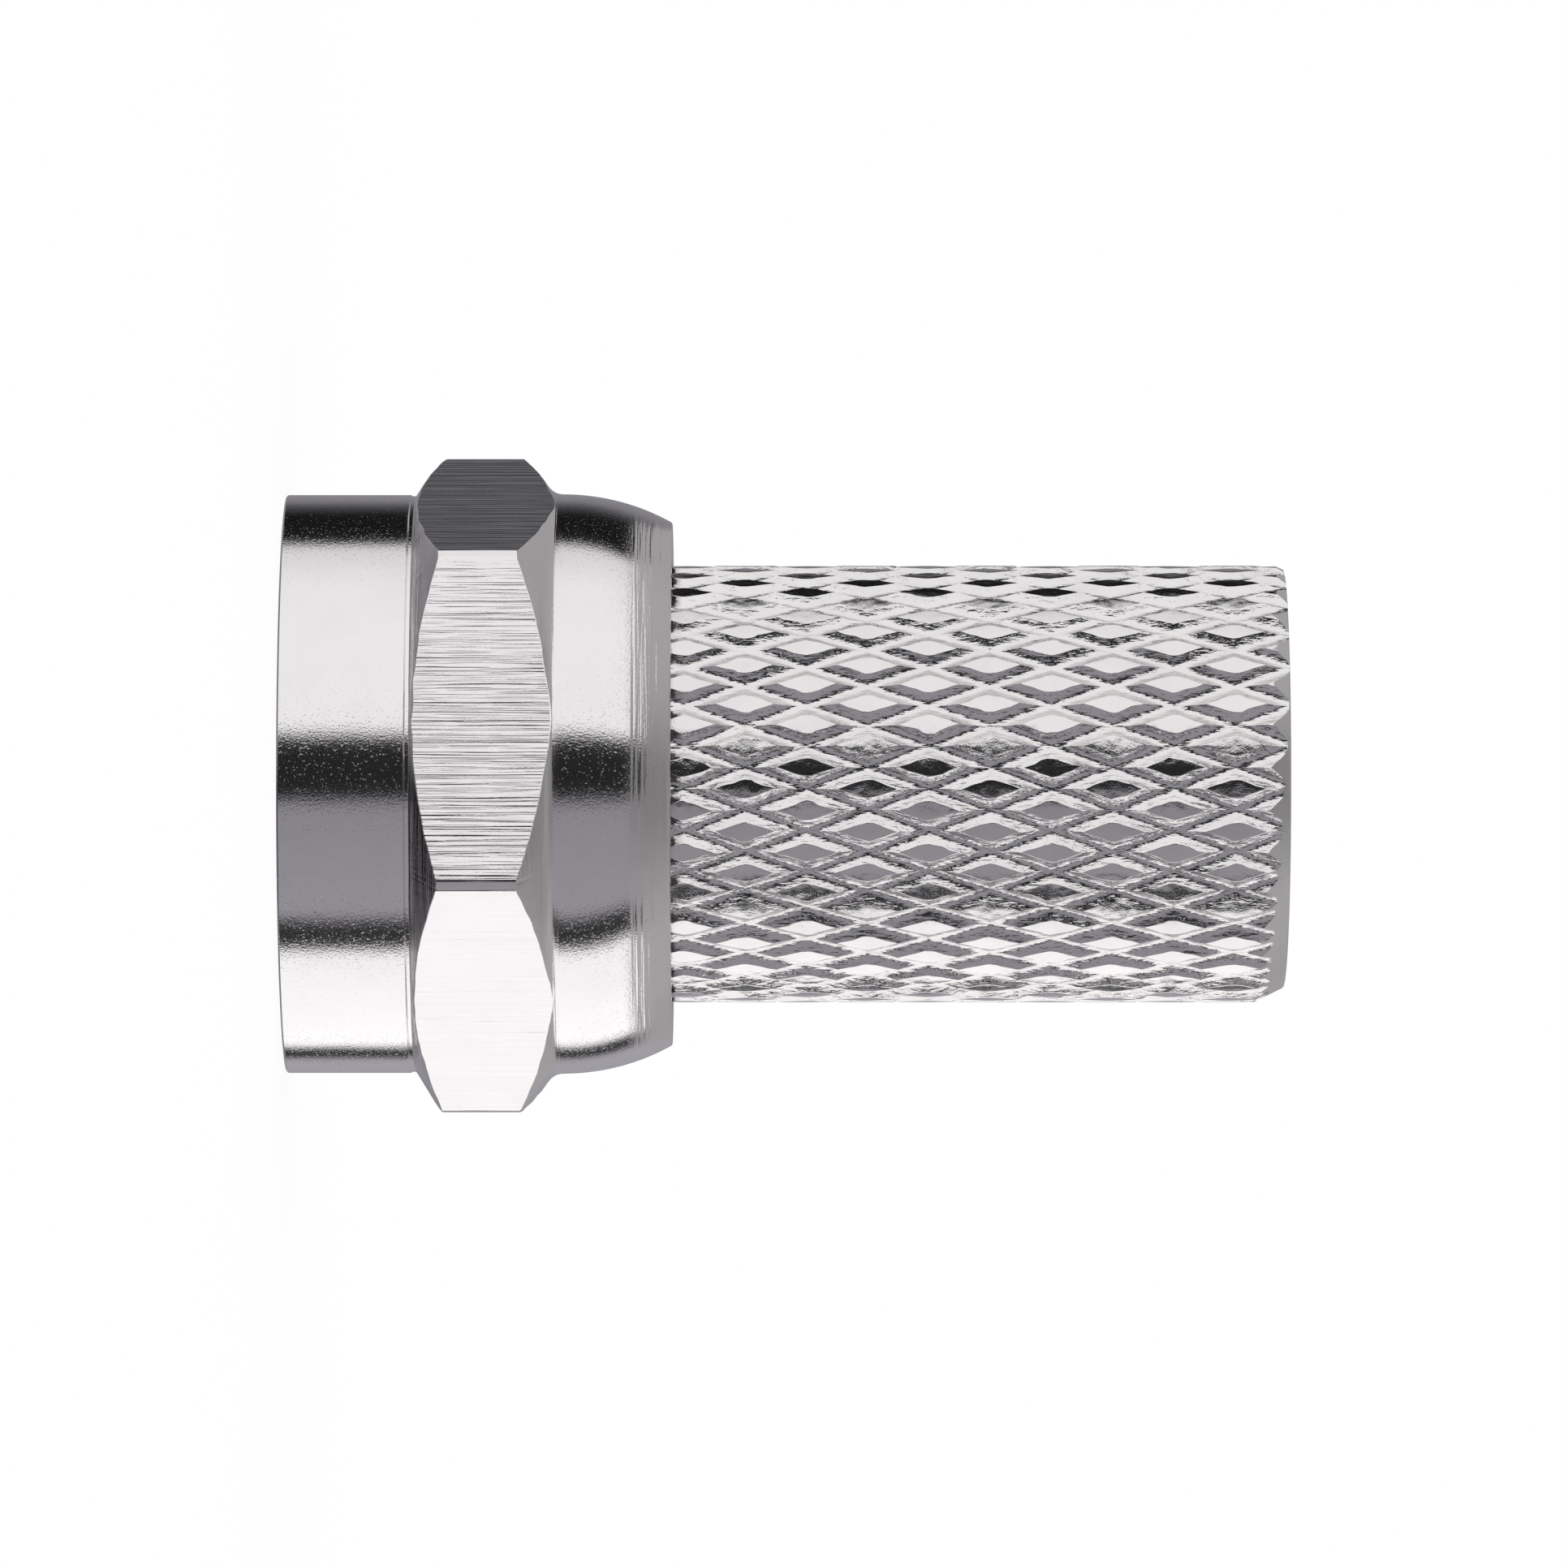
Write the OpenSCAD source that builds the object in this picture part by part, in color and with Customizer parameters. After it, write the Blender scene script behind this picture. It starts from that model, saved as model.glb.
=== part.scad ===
// Twist-on coaxial plug with a captive hexagonal coupling nut.
// The axis is +Z. The nut's mouth stands on z = 0 and the cable enters from the top.
// All sizes are in millimetres.

/* [Nut outside] */
// Width across the flats of the hexagonal bar that the nut is turned from
hex_across_flats = 11; // [10.6:0.1:12]
// How far each corner of the bar is cut back
hex_corner_trim = 0.05; // [0.02:0.01:0.2]
// Length of the round skirt ahead of the hexagon
skirt_length = 2.47; // [1.5:0.01:4]
// How far the turned skirt lies below the flats
skirt_relief = 0.05; // [0.02:0.01:0.2]
// Edge break round the mouth
mouth_edge_break = 0.08; // [0.02:0.01:0.2]
// Length of the hexagon at the middle of a flat
hex_length = 2.57; // [2:0.01:4]
// Angle of the chamfer at the front of the hexagon, from the plane across the axis
front_chamfer_angle = 30; // [20:1:40]
// Angle of the chamfer at the back of the hexagon, from the plane across the axis
rear_chamfer_angle = 36; // [20:1:40]
// Radius of the fillet between the hexagon and the collar
root_fillet_r = 0.45; // [0.2:0.05:0.8]
// How far the collar lies below the flats where it leaves the hexagon
collar_relief = 0.035; // [0.02:0.005:0.2]
// Length of the collar behind the hexagon
collar_length = 2.23; // [2:0.01:3]
// Radius of the curve that the collar is rolled in to
collar_roll_r = 4.2; // [3.6:0.1:8]

/* [Nut inside] */
// Metal between the crests of the coupling thread and the skirt
thread_wall = 1.11; // [0.8:0.01:1.2]
// Depth of the threaded bore from the mouth to the flange's seat
thread_length = 4.75; // [3.5:0.05:4.95]
// Depth of the lead-in at the mouth, cut at 45 degrees
mouth_lead_in = 0.45; // [0.2:0.05:0.7]
// Metal between the flange's seat and the collar
seat_wall = 0.685; // [0.5:0.005:0.8]
// How far the rolled lip reaches in over the seat
lip_overlap = 0.53; // [0.4:0.01:0.7]
// Length of the straight hole through the rolled lip
lip_length = 0.54; // [0.3:0.01:0.7]

/* [Fit of the nut on the body] */
// Radial clearance round the flange
running_clearance = 0.08; // [0.02:0.01:0.1]
// End play of the flange between its seat and the rolled lip
axial_clearance = 0.1; // [0.05:0.01:0.2]
// Radial clearance between the sleeve and the rolled lip
lip_clearance = 0.13; // [0.08:0.01:0.2]

/* [Body] */
// Edge break on the flange and on its boss
flange_edge_break = 0.08; // [0.02:0.01:0.09]
// Length of the sleeve that stands out of the nut
sleeve_length = 11.52; // [8:0.01:16]
// Metal between the crests of the jacket thread and the top of the knurl
sleeve_wall = 0.87; // [0.7:0.01:1]
// Height of the boss on the flange that meets the socket's end, past the thread's last turn
contact_boss_height = 0.15; // [0.1:0.01:0.2]
// Radial clearance between the boss and the crests of the coupling thread
contact_boss_clearance = 0.14; // [0.1:0.01:0.3]
// Thickness of the wall at the front of the body, with the boss left out
front_wall = 1.15; // [0.8:0.05:1.6]
// How far the front wall reaches in round the cable's insulation
front_shoulder = 0.75; // [0.5:0.05:1]
// Depth of the lead-in on both sides of the front wall, cut at 45 degrees
front_lead_in = 0.2; // [0.1:0.05:0.35]
// Narrowest width of the rim between the entry funnel and the chamfer
entry_rim = 0.24; // [0.1:0.01:0.4]
// Half angle of the funnel where the cable enters
entry_funnel_angle = 30; // [20:1:45]

/* [Knurl] */
// Number of grooves of each hand
knurl_count = 32; // [24:1:36]
// Angle of the grooves from the axis
knurl_angle = 19.55; // [16:0.05:25]
// Depth of the grooves
knurl_depth = 0.17; // [0.08:0.01:0.22]
// Share of the pitch that the flat top of a diamond keeps
knurl_land = 0.47; // [0.3:0.01:0.7]
// Turn of the diamonds about the axis, in degrees
knurl_turn = 2.6; // [0:0.1:11.2]
// Distance from the cable end to the last full row of diamonds
knurl_end_offset = 1.03; // [0.5:0.01:1.1]

/* [Chamfer at the cable end] */
// Radial depth of the chamfer
end_chamfer_depth = 0.18; // [0.12:0.01:0.3]
// Angle of the chamfer from the axis
end_chamfer_angle = 26.5; // [20:0.5:45]
// How far the chamfer's centre lies off the axis
end_chamfer_runout = 0.1; // [0:0.01:0.1]
// Direction of the deepest side of the chamfer, in degrees
end_chamfer_direction = 12.6; // [0:0.1:360]

/* [Hidden] */
$fn = 128;

// Nut outside: radii, and heights from the mouth
flat_r = hex_across_flats / 2;
corner_r = flat_r / cos(30) - hex_corner_trim;
skirt_r = flat_r - skirt_relief;
collar_r = flat_r - collar_relief;
hex_end_z = skirt_length + hex_length;
front_corner_z = skirt_length + (corner_r - skirt_r) * tan(front_chamfer_angle);
rear_corner_z = hex_end_z - (corner_r - collar_r) * tan(rear_chamfer_angle);
// The fillet touches the chamfer cone and the collar this far from where the two would meet
fillet_sweep = 90 - rear_chamfer_angle;
fillet_reach = root_fillet_r * tan(fillet_sweep / 2);
roll_start_z = hex_end_z + fillet_reach;
nut_end_z = hex_end_z + collar_length;
roll_sweep = asin((nut_end_z - roll_start_z) / collar_roll_r);
ARC_STEPS = 10;

// Nut inside, each wall measured in from the outside
thread_minor_r = skirt_r - thread_wall;
seat_r = collar_r - seat_wall;
lip_r = seat_r - lip_overlap;
lip_z = nut_end_z - lip_length;
seat_end_z = lip_z - lip_overlap;

// Body, inside the nut by its clearances
flange_r = seat_r - running_clearance;
sleeve_r = lip_r - lip_clearance;
root_r = sleeve_r - knurl_depth;
flange_front_z = thread_length + axial_clearance;
boss_r = thread_minor_r - contact_boss_clearance;
boss_front_z = flange_front_z - contact_boss_height;
// The back of the flange is a 45 degree shoulder that faces the lip across the end play
shoulder_z = seat_end_z + running_clearance - axial_clearance;
neck_z = shoulder_z + (flange_r - root_r);
knurl_start_z = neck_z + axial_clearance;
body_end_z = nut_end_z + sleeve_length;
jacket_bore_r = sleeve_r - sleeve_wall;
front_hole_r = jacket_bore_r - front_shoulder;
wall_back_z = flange_front_z + front_wall;
funnel_r = sleeve_r - end_chamfer_depth - end_chamfer_runout - entry_rim;
funnel_length = (funnel_r - jacket_bore_r) / tan(entry_funnel_angle);

// Knurl: rows of diamonds lie half an axial pitch apart, each turned by half a pitch
turn_pitch = 360 / knurl_count;
row_gap = PI * sleeve_r / knurl_count / tan(knurl_angle);
last_row_z = body_end_z - knurl_end_offset;
rows_below = ceil((last_row_z - knurl_start_z) / row_gap);
ROWS_ABOVE = 1;
row_total = rows_below + 1 + ROWS_ABOVE;
first_row_z = last_row_z - rows_below * row_gap;

// Space that a cutter runs past the face it cuts
OVERRUN = 1;

// Points on an arc about centre, from one angle to another, as [radius, height]
function arc(centre, r, from, to) =
    [for (i = [0:ARC_STEPS]) let (a = from + (to - from) * i / ARC_STEPS)
        centre + r * [cos(a), sin(a)]];

// A point at an angle, radius and height
function polar(angle, r, z) = [r * cos(angle), r * sin(angle), z];

// Nut

// Outline that the bar is turned to, from the mouth to the rolled end
module nut_outline() {
    fillet_centre = [collar_r + root_fillet_r, roll_start_z];
    roll_centre = [collar_r - collar_roll_r, roll_start_z];
    polygon(concat(
        [[0, 0],
         [skirt_r - mouth_edge_break, 0],
         [skirt_r, mouth_edge_break],
         [skirt_r, skirt_length],
         [corner_r, front_corner_z],
         [corner_r, rear_corner_z]],
        arc(fillet_centre, root_fillet_r, 180 + fillet_sweep, 180),
        arc(roll_centre, collar_roll_r, 0, roll_sweep),
        [[0, nut_end_z]]
    ));
}

// Threaded bore, flange seat and lip hole, as one stepped bore
module nut_bore() {
    translate([0, 0, -OVERRUN])
        cylinder(h = thread_length + 2 * OVERRUN, r = thread_minor_r);
    translate([0, 0, -OVERRUN])
        cylinder(
            h = mouth_lead_in + OVERRUN,
            r1 = thread_minor_r + mouth_lead_in + OVERRUN,
            r2 = thread_minor_r
        );
    translate([0, 0, thread_length])
        cylinder(h = seat_end_z - thread_length, r = seat_r);
    translate([0, 0, seat_end_z])
        cylinder(h = lip_overlap, r1 = seat_r, r2 = lip_r);
    translate([0, 0, lip_z])
        cylinder(h = lip_length + OVERRUN, r = lip_r);
}

// Hexagonal bar, turned outside and bored, with its collar rolled in behind the flange.
// One of its flats faces -Y.
module coupling_nut() {
    color([0.80, 0.79, 0.79])
    difference() {
        intersection() {
            linear_extrude(nut_end_z) circle(r = flat_r / cos(30), $fn = 6);
            rotate_extrude() nut_outline();
        }
        nut_bore();
    }
}

// Body

// Contact boss, flange with its back shoulder, and the neck that carries the knurled sleeve
module flange_and_neck() {
    rotate_extrude() polygon([
        [0, boss_front_z],
        [boss_r - flange_edge_break, boss_front_z],
        [boss_r, boss_front_z + flange_edge_break],
        [boss_r, flange_front_z],
        [flange_r - flange_edge_break, flange_front_z],
        [flange_r, flange_front_z + flange_edge_break],
        [flange_r, shoulder_z],
        [root_r, neck_z],
        [root_r, knurl_start_z],
        [0, knurl_start_z]
    ]);
}

// Corners of the diamonds of one row, and the groove crossings beside them.
// Each diamond has five points: its two side corners, its two end corners and the crossing.
function row_points(row) = let (z = first_row_z + row * row_gap)
    [for (i = [0:knurl_count - 1])
        let (a = knurl_turn + (i + (row - rows_below) / 2) * turn_pitch)
        each [
            polar(a - knurl_land * turn_pitch / 2, sleeve_r, z),
            polar(a + knurl_land * turn_pitch / 2, sleeve_r, z),
            polar(a, sleeve_r, z - knurl_land * row_gap),
            polar(a, sleeve_r, z + knurl_land * row_gap),
            polar(a + turn_pitch / 2, root_r, z)
        ]];

POINTS_PER_DIAMOND = 5;
// Index of a point of a diamond; the rows below and above share crossings with this one
function corner(row, i, which) =
    (row * knurl_count + (i + knurl_count) % knurl_count) * POINTS_PER_DIAMOND + which;
LEFT = 0; RIGHT = 1; DOWN = 2; UP = 3; CROSSING = 4;

// Lower half of a diamond: its flat top, and the two groove walls that fall away from it
function lower_half(row, i) = let (
        l = corner(row, i, LEFT), r = corner(row, i, RIGHT), d = corner(row, i, DOWN),
        xl = corner(row, i - 1, CROSSING), xr = corner(row, i, CROSSING),
        xd = corner(row - 1, i, CROSSING)
    ) [[l, r, d], [l, d, xl], [xl, d, xd], [d, r, xr], [d, xr, xd]];

// Upper half of a diamond
function upper_half(row, i) = let (
        l = corner(row, i, LEFT), r = corner(row, i, RIGHT), u = corner(row, i, UP),
        xl = corner(row, i - 1, CROSSING), xr = corner(row, i, CROSSING),
        xu = corner(row + 1, i - 1, CROSSING)
    ) [[r, l, u], [u, l, xl], [u, xl, xu], [u, xr, r], [u, xu, xr]];

// Knurled bar: diamonds between two families of helical grooves, on a solid round bar
module knurled_bar() {
    rows = [for (row = [0:row_total - 1]) each row_points(row)];
    top = row_total - 1;
    bottom_ring = [for (i = [0:knurl_count - 1])
        each [corner(0, i, LEFT), corner(0, i, RIGHT), corner(0, i, CROSSING)]];
    top_ring = [for (i = [knurl_count - 1:-1:0])
        each [corner(top, i, CROSSING), corner(top, i, RIGHT), corner(top, i, LEFT)]];
    polyhedron(rows, concat(
        [for (row = [0:top - 1], i = [0:knurl_count - 1]) each upper_half(row, i)],
        [for (row = [1:top], i = [0:knurl_count - 1]) each lower_half(row, i)],
        [bottom_ring, top_ring]
    ));
}

// Everything outside the sleeve's turned envelope: its ends and the chamfer at the cable end
module knurl_trim() {
    over_r = sleeve_r + OVERRUN;
    cone_length = (end_chamfer_depth + OVERRUN) / tan(end_chamfer_angle);
    translate([0, 0, first_row_z - OVERRUN])
        cylinder(h = knurl_start_z - first_row_z + OVERRUN, r = over_r);
    translate([0, 0, body_end_z])
        cylinder(h = row_gap * ROWS_ABOVE + OVERRUN, r = over_r);
    rotate([0, 0, end_chamfer_direction]) translate([-end_chamfer_runout, 0, body_end_z])
        rotate_extrude() polygon([
            [sleeve_r - end_chamfer_depth, 0],
            [sleeve_r + OVERRUN, -cone_length],
            [sleeve_r + OVERRUN, 0]
        ]);
}

// Hole for the insulation, jacket bore and entry funnel, as one stepped bore
module body_bore() {
    translate([0, 0, boss_front_z - OVERRUN])
        cylinder(h = wall_back_z - boss_front_z + 2 * OVERRUN, r = front_hole_r);
    translate([0, 0, boss_front_z])
        cylinder(h = front_lead_in, r1 = front_hole_r + front_lead_in, r2 = front_hole_r);
    translate([0, 0, wall_back_z - front_lead_in])
        cylinder(h = front_lead_in, r1 = front_hole_r, r2 = front_hole_r + front_lead_in);
    translate([0, 0, wall_back_z])
        cylinder(h = body_end_z - wall_back_z + OVERRUN, r = jacket_bore_r);
    translate([0, 0, body_end_z - funnel_length])
        cylinder(h = funnel_length, r1 = jacket_bore_r, r2 = funnel_r);
}

// One turned piece: a flange with a contact boss that the nut turns on, and a knurled sleeve
// that screws on to the cable's jacket
module connector_body() {
    color([0.78, 0.78, 0.79])
    difference() {
        union() {
            flange_and_neck();
            difference() {
                knurled_bar();
                knurl_trim();
            }
        }
        body_bore();
    }
}

coupling_nut();
connector_body();
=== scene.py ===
"""Looks of a twist-on coaxial plug: a captive hexagonal nut on a knurled, tubular body.

Both pieces are turned brass with bright nickel plating. The nut has a round skirt, a chamfered
hexagon and a collar that is rolled in behind the body's flange. The body's sleeve carries a
diamond knurl outside and a thread for the cable's jacket inside. The plug's axis is Z, and the
classes below hold lengths in millimetres and angles in degrees.
"""

import logging
import math
from dataclasses import dataclass, field
from enum import Enum
from functools import reduce
from typing import Any, ClassVar, Optional, Sequence, Union

import bmesh
import bpy
import numpy as np
from mathutils import Matrix, Vector


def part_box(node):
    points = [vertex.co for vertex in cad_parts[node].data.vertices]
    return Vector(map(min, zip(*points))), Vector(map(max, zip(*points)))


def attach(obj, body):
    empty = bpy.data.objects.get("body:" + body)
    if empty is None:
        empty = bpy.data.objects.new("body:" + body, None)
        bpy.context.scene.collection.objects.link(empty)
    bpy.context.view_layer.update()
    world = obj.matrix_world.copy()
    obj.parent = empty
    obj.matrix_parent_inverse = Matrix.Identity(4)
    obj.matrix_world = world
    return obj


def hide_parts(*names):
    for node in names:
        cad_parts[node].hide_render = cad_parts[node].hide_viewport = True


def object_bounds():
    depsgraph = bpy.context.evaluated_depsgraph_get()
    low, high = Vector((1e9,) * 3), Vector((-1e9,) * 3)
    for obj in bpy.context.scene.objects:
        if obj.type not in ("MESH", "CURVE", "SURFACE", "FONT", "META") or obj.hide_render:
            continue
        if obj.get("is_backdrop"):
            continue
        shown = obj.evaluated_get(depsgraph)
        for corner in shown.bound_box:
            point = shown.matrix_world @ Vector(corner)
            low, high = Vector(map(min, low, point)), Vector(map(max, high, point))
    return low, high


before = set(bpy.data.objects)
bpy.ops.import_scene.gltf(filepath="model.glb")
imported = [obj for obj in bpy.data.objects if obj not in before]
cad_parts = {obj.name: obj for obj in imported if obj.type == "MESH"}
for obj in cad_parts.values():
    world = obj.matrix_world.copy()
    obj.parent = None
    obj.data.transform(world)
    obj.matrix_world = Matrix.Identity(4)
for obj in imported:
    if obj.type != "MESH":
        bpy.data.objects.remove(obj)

MM = 0.001
NEAR = 1e-7  # metres, within which a point lies on a plane
LOG = logging.getLogger("plug")

Colour = tuple[float, float, float]
Socket = bpy.types.NodeSocket
Value = Union[float, Socket]


# Helpers for meshes


def soften(mesh: bpy.types.Mesh, limit: float = 40.0, pull: float = 1.5) -> None:
    """Shade each corner by the larger faces beside it, so that narrow bevels carry the turns.

    Args:
        mesh: The mesh to shade.
        limit: Largest turn between two faces, in degrees, that is shaded as a curve.
        pull: Power of its area that a face is weighed by.
    """
    count, faces = len(mesh.loops), len(mesh.polygons)
    vertex, total = np.empty(count, np.int32), np.empty(faces, np.int32)
    normal, area = np.empty(faces * 3), np.empty(faces)
    mesh.loops.foreach_get("vertex_index", vertex)
    mesh.polygons.foreach_get("loop_total", total)
    mesh.polygons.foreach_get("normal", normal)
    mesh.polygons.foreach_get("area", area)
    # Areas in square metres are tiny, so they are scaled before the power is taken.
    normal, weight = normal.reshape(-1, 3), (area * 1e9) ** pull
    face = np.repeat(np.arange(faces), total)
    order = np.argsort(vertex, kind="stable")
    valences = np.bincount(vertex, minlength=len(mesh.vertices))
    starts = np.cumsum(valences) - valences
    shading = np.zeros((count, 3))
    for valence in np.unique(valences[valences > 0]):
        first = starts[valences == valence]
        corners = order[first[:, None] + np.arange(valence)]
        beside, pulls = normal[face[corners]], weight[face[corners]]
        near = np.einsum("mik,mjk->mij", beside, beside) > math.cos(math.radians(limit))
        shading[corners] = np.einsum("mij,mj,mjk->mik", near, pulls, beside)
    shading /= np.maximum(np.linalg.norm(shading, axis=1, keepdims=True), 1e-30)
    mesh.shade_smooth()
    mesh.normals_split_custom_set(shading.tolist())


def new_mesh(name: str, points: Sequence[Any], faces: Sequence[Any]) -> bpy.types.Mesh:
    """Make a mesh from its points, in metres, and its faces."""
    mesh = bpy.data.meshes.new(name)
    mesh.from_pydata(points, [], faces)
    return mesh


def add_object(name: str, mesh: bpy.types.Mesh) -> bpy.types.Object:
    """Link a mesh into the scene as an object of its own.

    Args:
        name: Name of the object.
        mesh: Its mesh, already in place.

    Returns:
        The object, at the origin.
    """
    piece = bpy.data.objects.new(name, mesh)
    bpy.context.scene.collection.objects.link(piece)
    return piece


def settle(piece: bpy.types.Object, name: str) -> bpy.types.Object:
    """Replace an object by a plain mesh of what its modifiers make.

    Args:
        piece: Object with live modifiers. It is removed.
        name: Name of the new object.

    Returns:
        A new object without modifiers.
    """
    bpy.context.view_layer.update()
    evaluated = piece.evaluated_get(bpy.context.evaluated_depsgraph_get())
    mesh = bpy.data.meshes.new_from_object(evaluated)
    bpy.data.objects.remove(piece)
    mesh.name = name
    return add_object(name, mesh)


@dataclass
class Ring:
    """One turned corner of a profile that is closed round the axis.

    Attributes:
        radius: Radius of the corner at each column.
        height: Height of the corner at each column.
        finish: Index of the finish of the surface that follows the corner.
        ease: Length over which the corner is broken, on each side. 0 keeps it sharp.
        cut: Whether a thread may cut the surface at this corner.
    """

    radius: np.ndarray
    height: np.ndarray
    finish: int = 0
    ease: float = 0.0
    cut: bool = False


@dataclass
class TurnedForm:
    """A closed surface swept round the axis, whose profile may change from column to column.

    Attributes:
        angles: Angle of each column, in degrees, rising through one turn.
        rings: Corners of the profile in order, the last joined to the first.
    """

    angles: np.ndarray
    rings: list[Ring] = field(default_factory=list)

    def add(self, radius: Any, height: Any, finish: int = 0, ease: float = 0.0,
            cut: bool = False) -> None:
        """Add one corner to the profile.

        Args:
            radius: Radius, as one number or one for each column.
            height: Height, as one number or one for each column.
            finish: Index of the finish that follows the corner.
            ease: Length over which the corner is broken, on each side.
            cut: Whether a thread may cut the surface at this corner.
        """
        ones = np.ones(len(self.angles))
        self.rings.append(Ring(ones * radius, ones * height, finish, ease, cut))

    def eased(self) -> list[Ring]:
        """Return the corners, with each broken edge as three rings."""
        count = len(self.rings)
        out: list[Ring] = []
        for i, ring in enumerate(self.rings):
            if ring.ease <= 0:
                out.append(ring)
                continue
            here = np.stack([ring.radius, ring.height])
            before, after = self.rings[i - 1], self.rings[(i + 1) % count]
            back = np.stack([before.radius, before.height]) - here
            ahead = np.stack([after.radius, after.height]) - here
            one = here + ring.ease * back / np.maximum(np.linalg.norm(back, axis=0), 1e-9)
            two = here + ring.ease * ahead / np.maximum(np.linalg.norm(ahead, axis=0), 1e-9)
            middle = 0.25 * one + 0.5 * here + 0.25 * two
            out += [Ring(at[0], at[1], ring.finish, 0, ring.cut) for at in (one, middle, two)]
        return out

    def mesh(self, name: str) -> bpy.types.Mesh:
        """Build the surface.

        Args:
            name: Name of the mesh.

        Returns:
            A closed mesh in metres, with a vertex attribute that says where a thread may cut.
        """
        rings = self.eased()
        turn = np.radians(self.angles)
        rows, columns = len(rings), len(turn)
        radius = np.array([r.radius for r in rings]) * MM
        points = np.stack([radius * np.cos(turn), radius * np.sin(turn),
                           np.array([r.height for r in rings]) * MM], axis=-1).reshape(-1, 3)
        index = np.arange(rows * columns).reshape(rows, columns)
        ahead = np.roll(index, -1, axis=1)
        faces = np.stack([index, ahead, np.roll(ahead, -1, axis=0), np.roll(index, -1, axis=0)],
                         axis=-1).reshape(-1, 4)
        mesh = new_mesh(name, points.tolist(), faces.tolist())
        mesh.polygons.foreach_set("material_index",
                                  np.repeat([r.finish for r in rings], columns).astype(np.int32))
        flag = mesh.attributes.new("thread_cut", "FLOAT", "POINT")
        flag.data.foreach_set("value", np.repeat([float(r.cut) for r in rings], columns))
        mesh.update()
        outwards(mesh)
        return mesh


def outwards(mesh: bpy.types.Mesh) -> None:
    """Turn the faces of a closed mesh outwards."""
    work = bmesh.new()
    work.from_mesh(mesh)
    bmesh.ops.recalc_face_normals(work, faces=work.faces)
    if work.calc_volume(signed=True) < 0:
        bmesh.ops.reverse_faces(work, faces=work.faces)
    work.to_mesh(mesh)
    work.free()


def coat(mesh: bpy.types.Mesh, materials: Sequence[bpy.types.Material],
         index: Optional[np.ndarray] = None) -> None:
    """Give a mesh its materials.

    Args:
        mesh: The mesh.
        materials: Its materials in order.
        index: Number of each face's material. Left out, the faces keep their own.
    """
    if index is None:
        index = np.empty(len(mesh.polygons), np.int32)
        mesh.polygons.foreach_get("material_index", index)
    mesh.materials.clear()
    for material in materials:
        mesh.materials.append(material)
    mesh.polygons.foreach_set("material_index", index)


# Helpers for node trees


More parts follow.
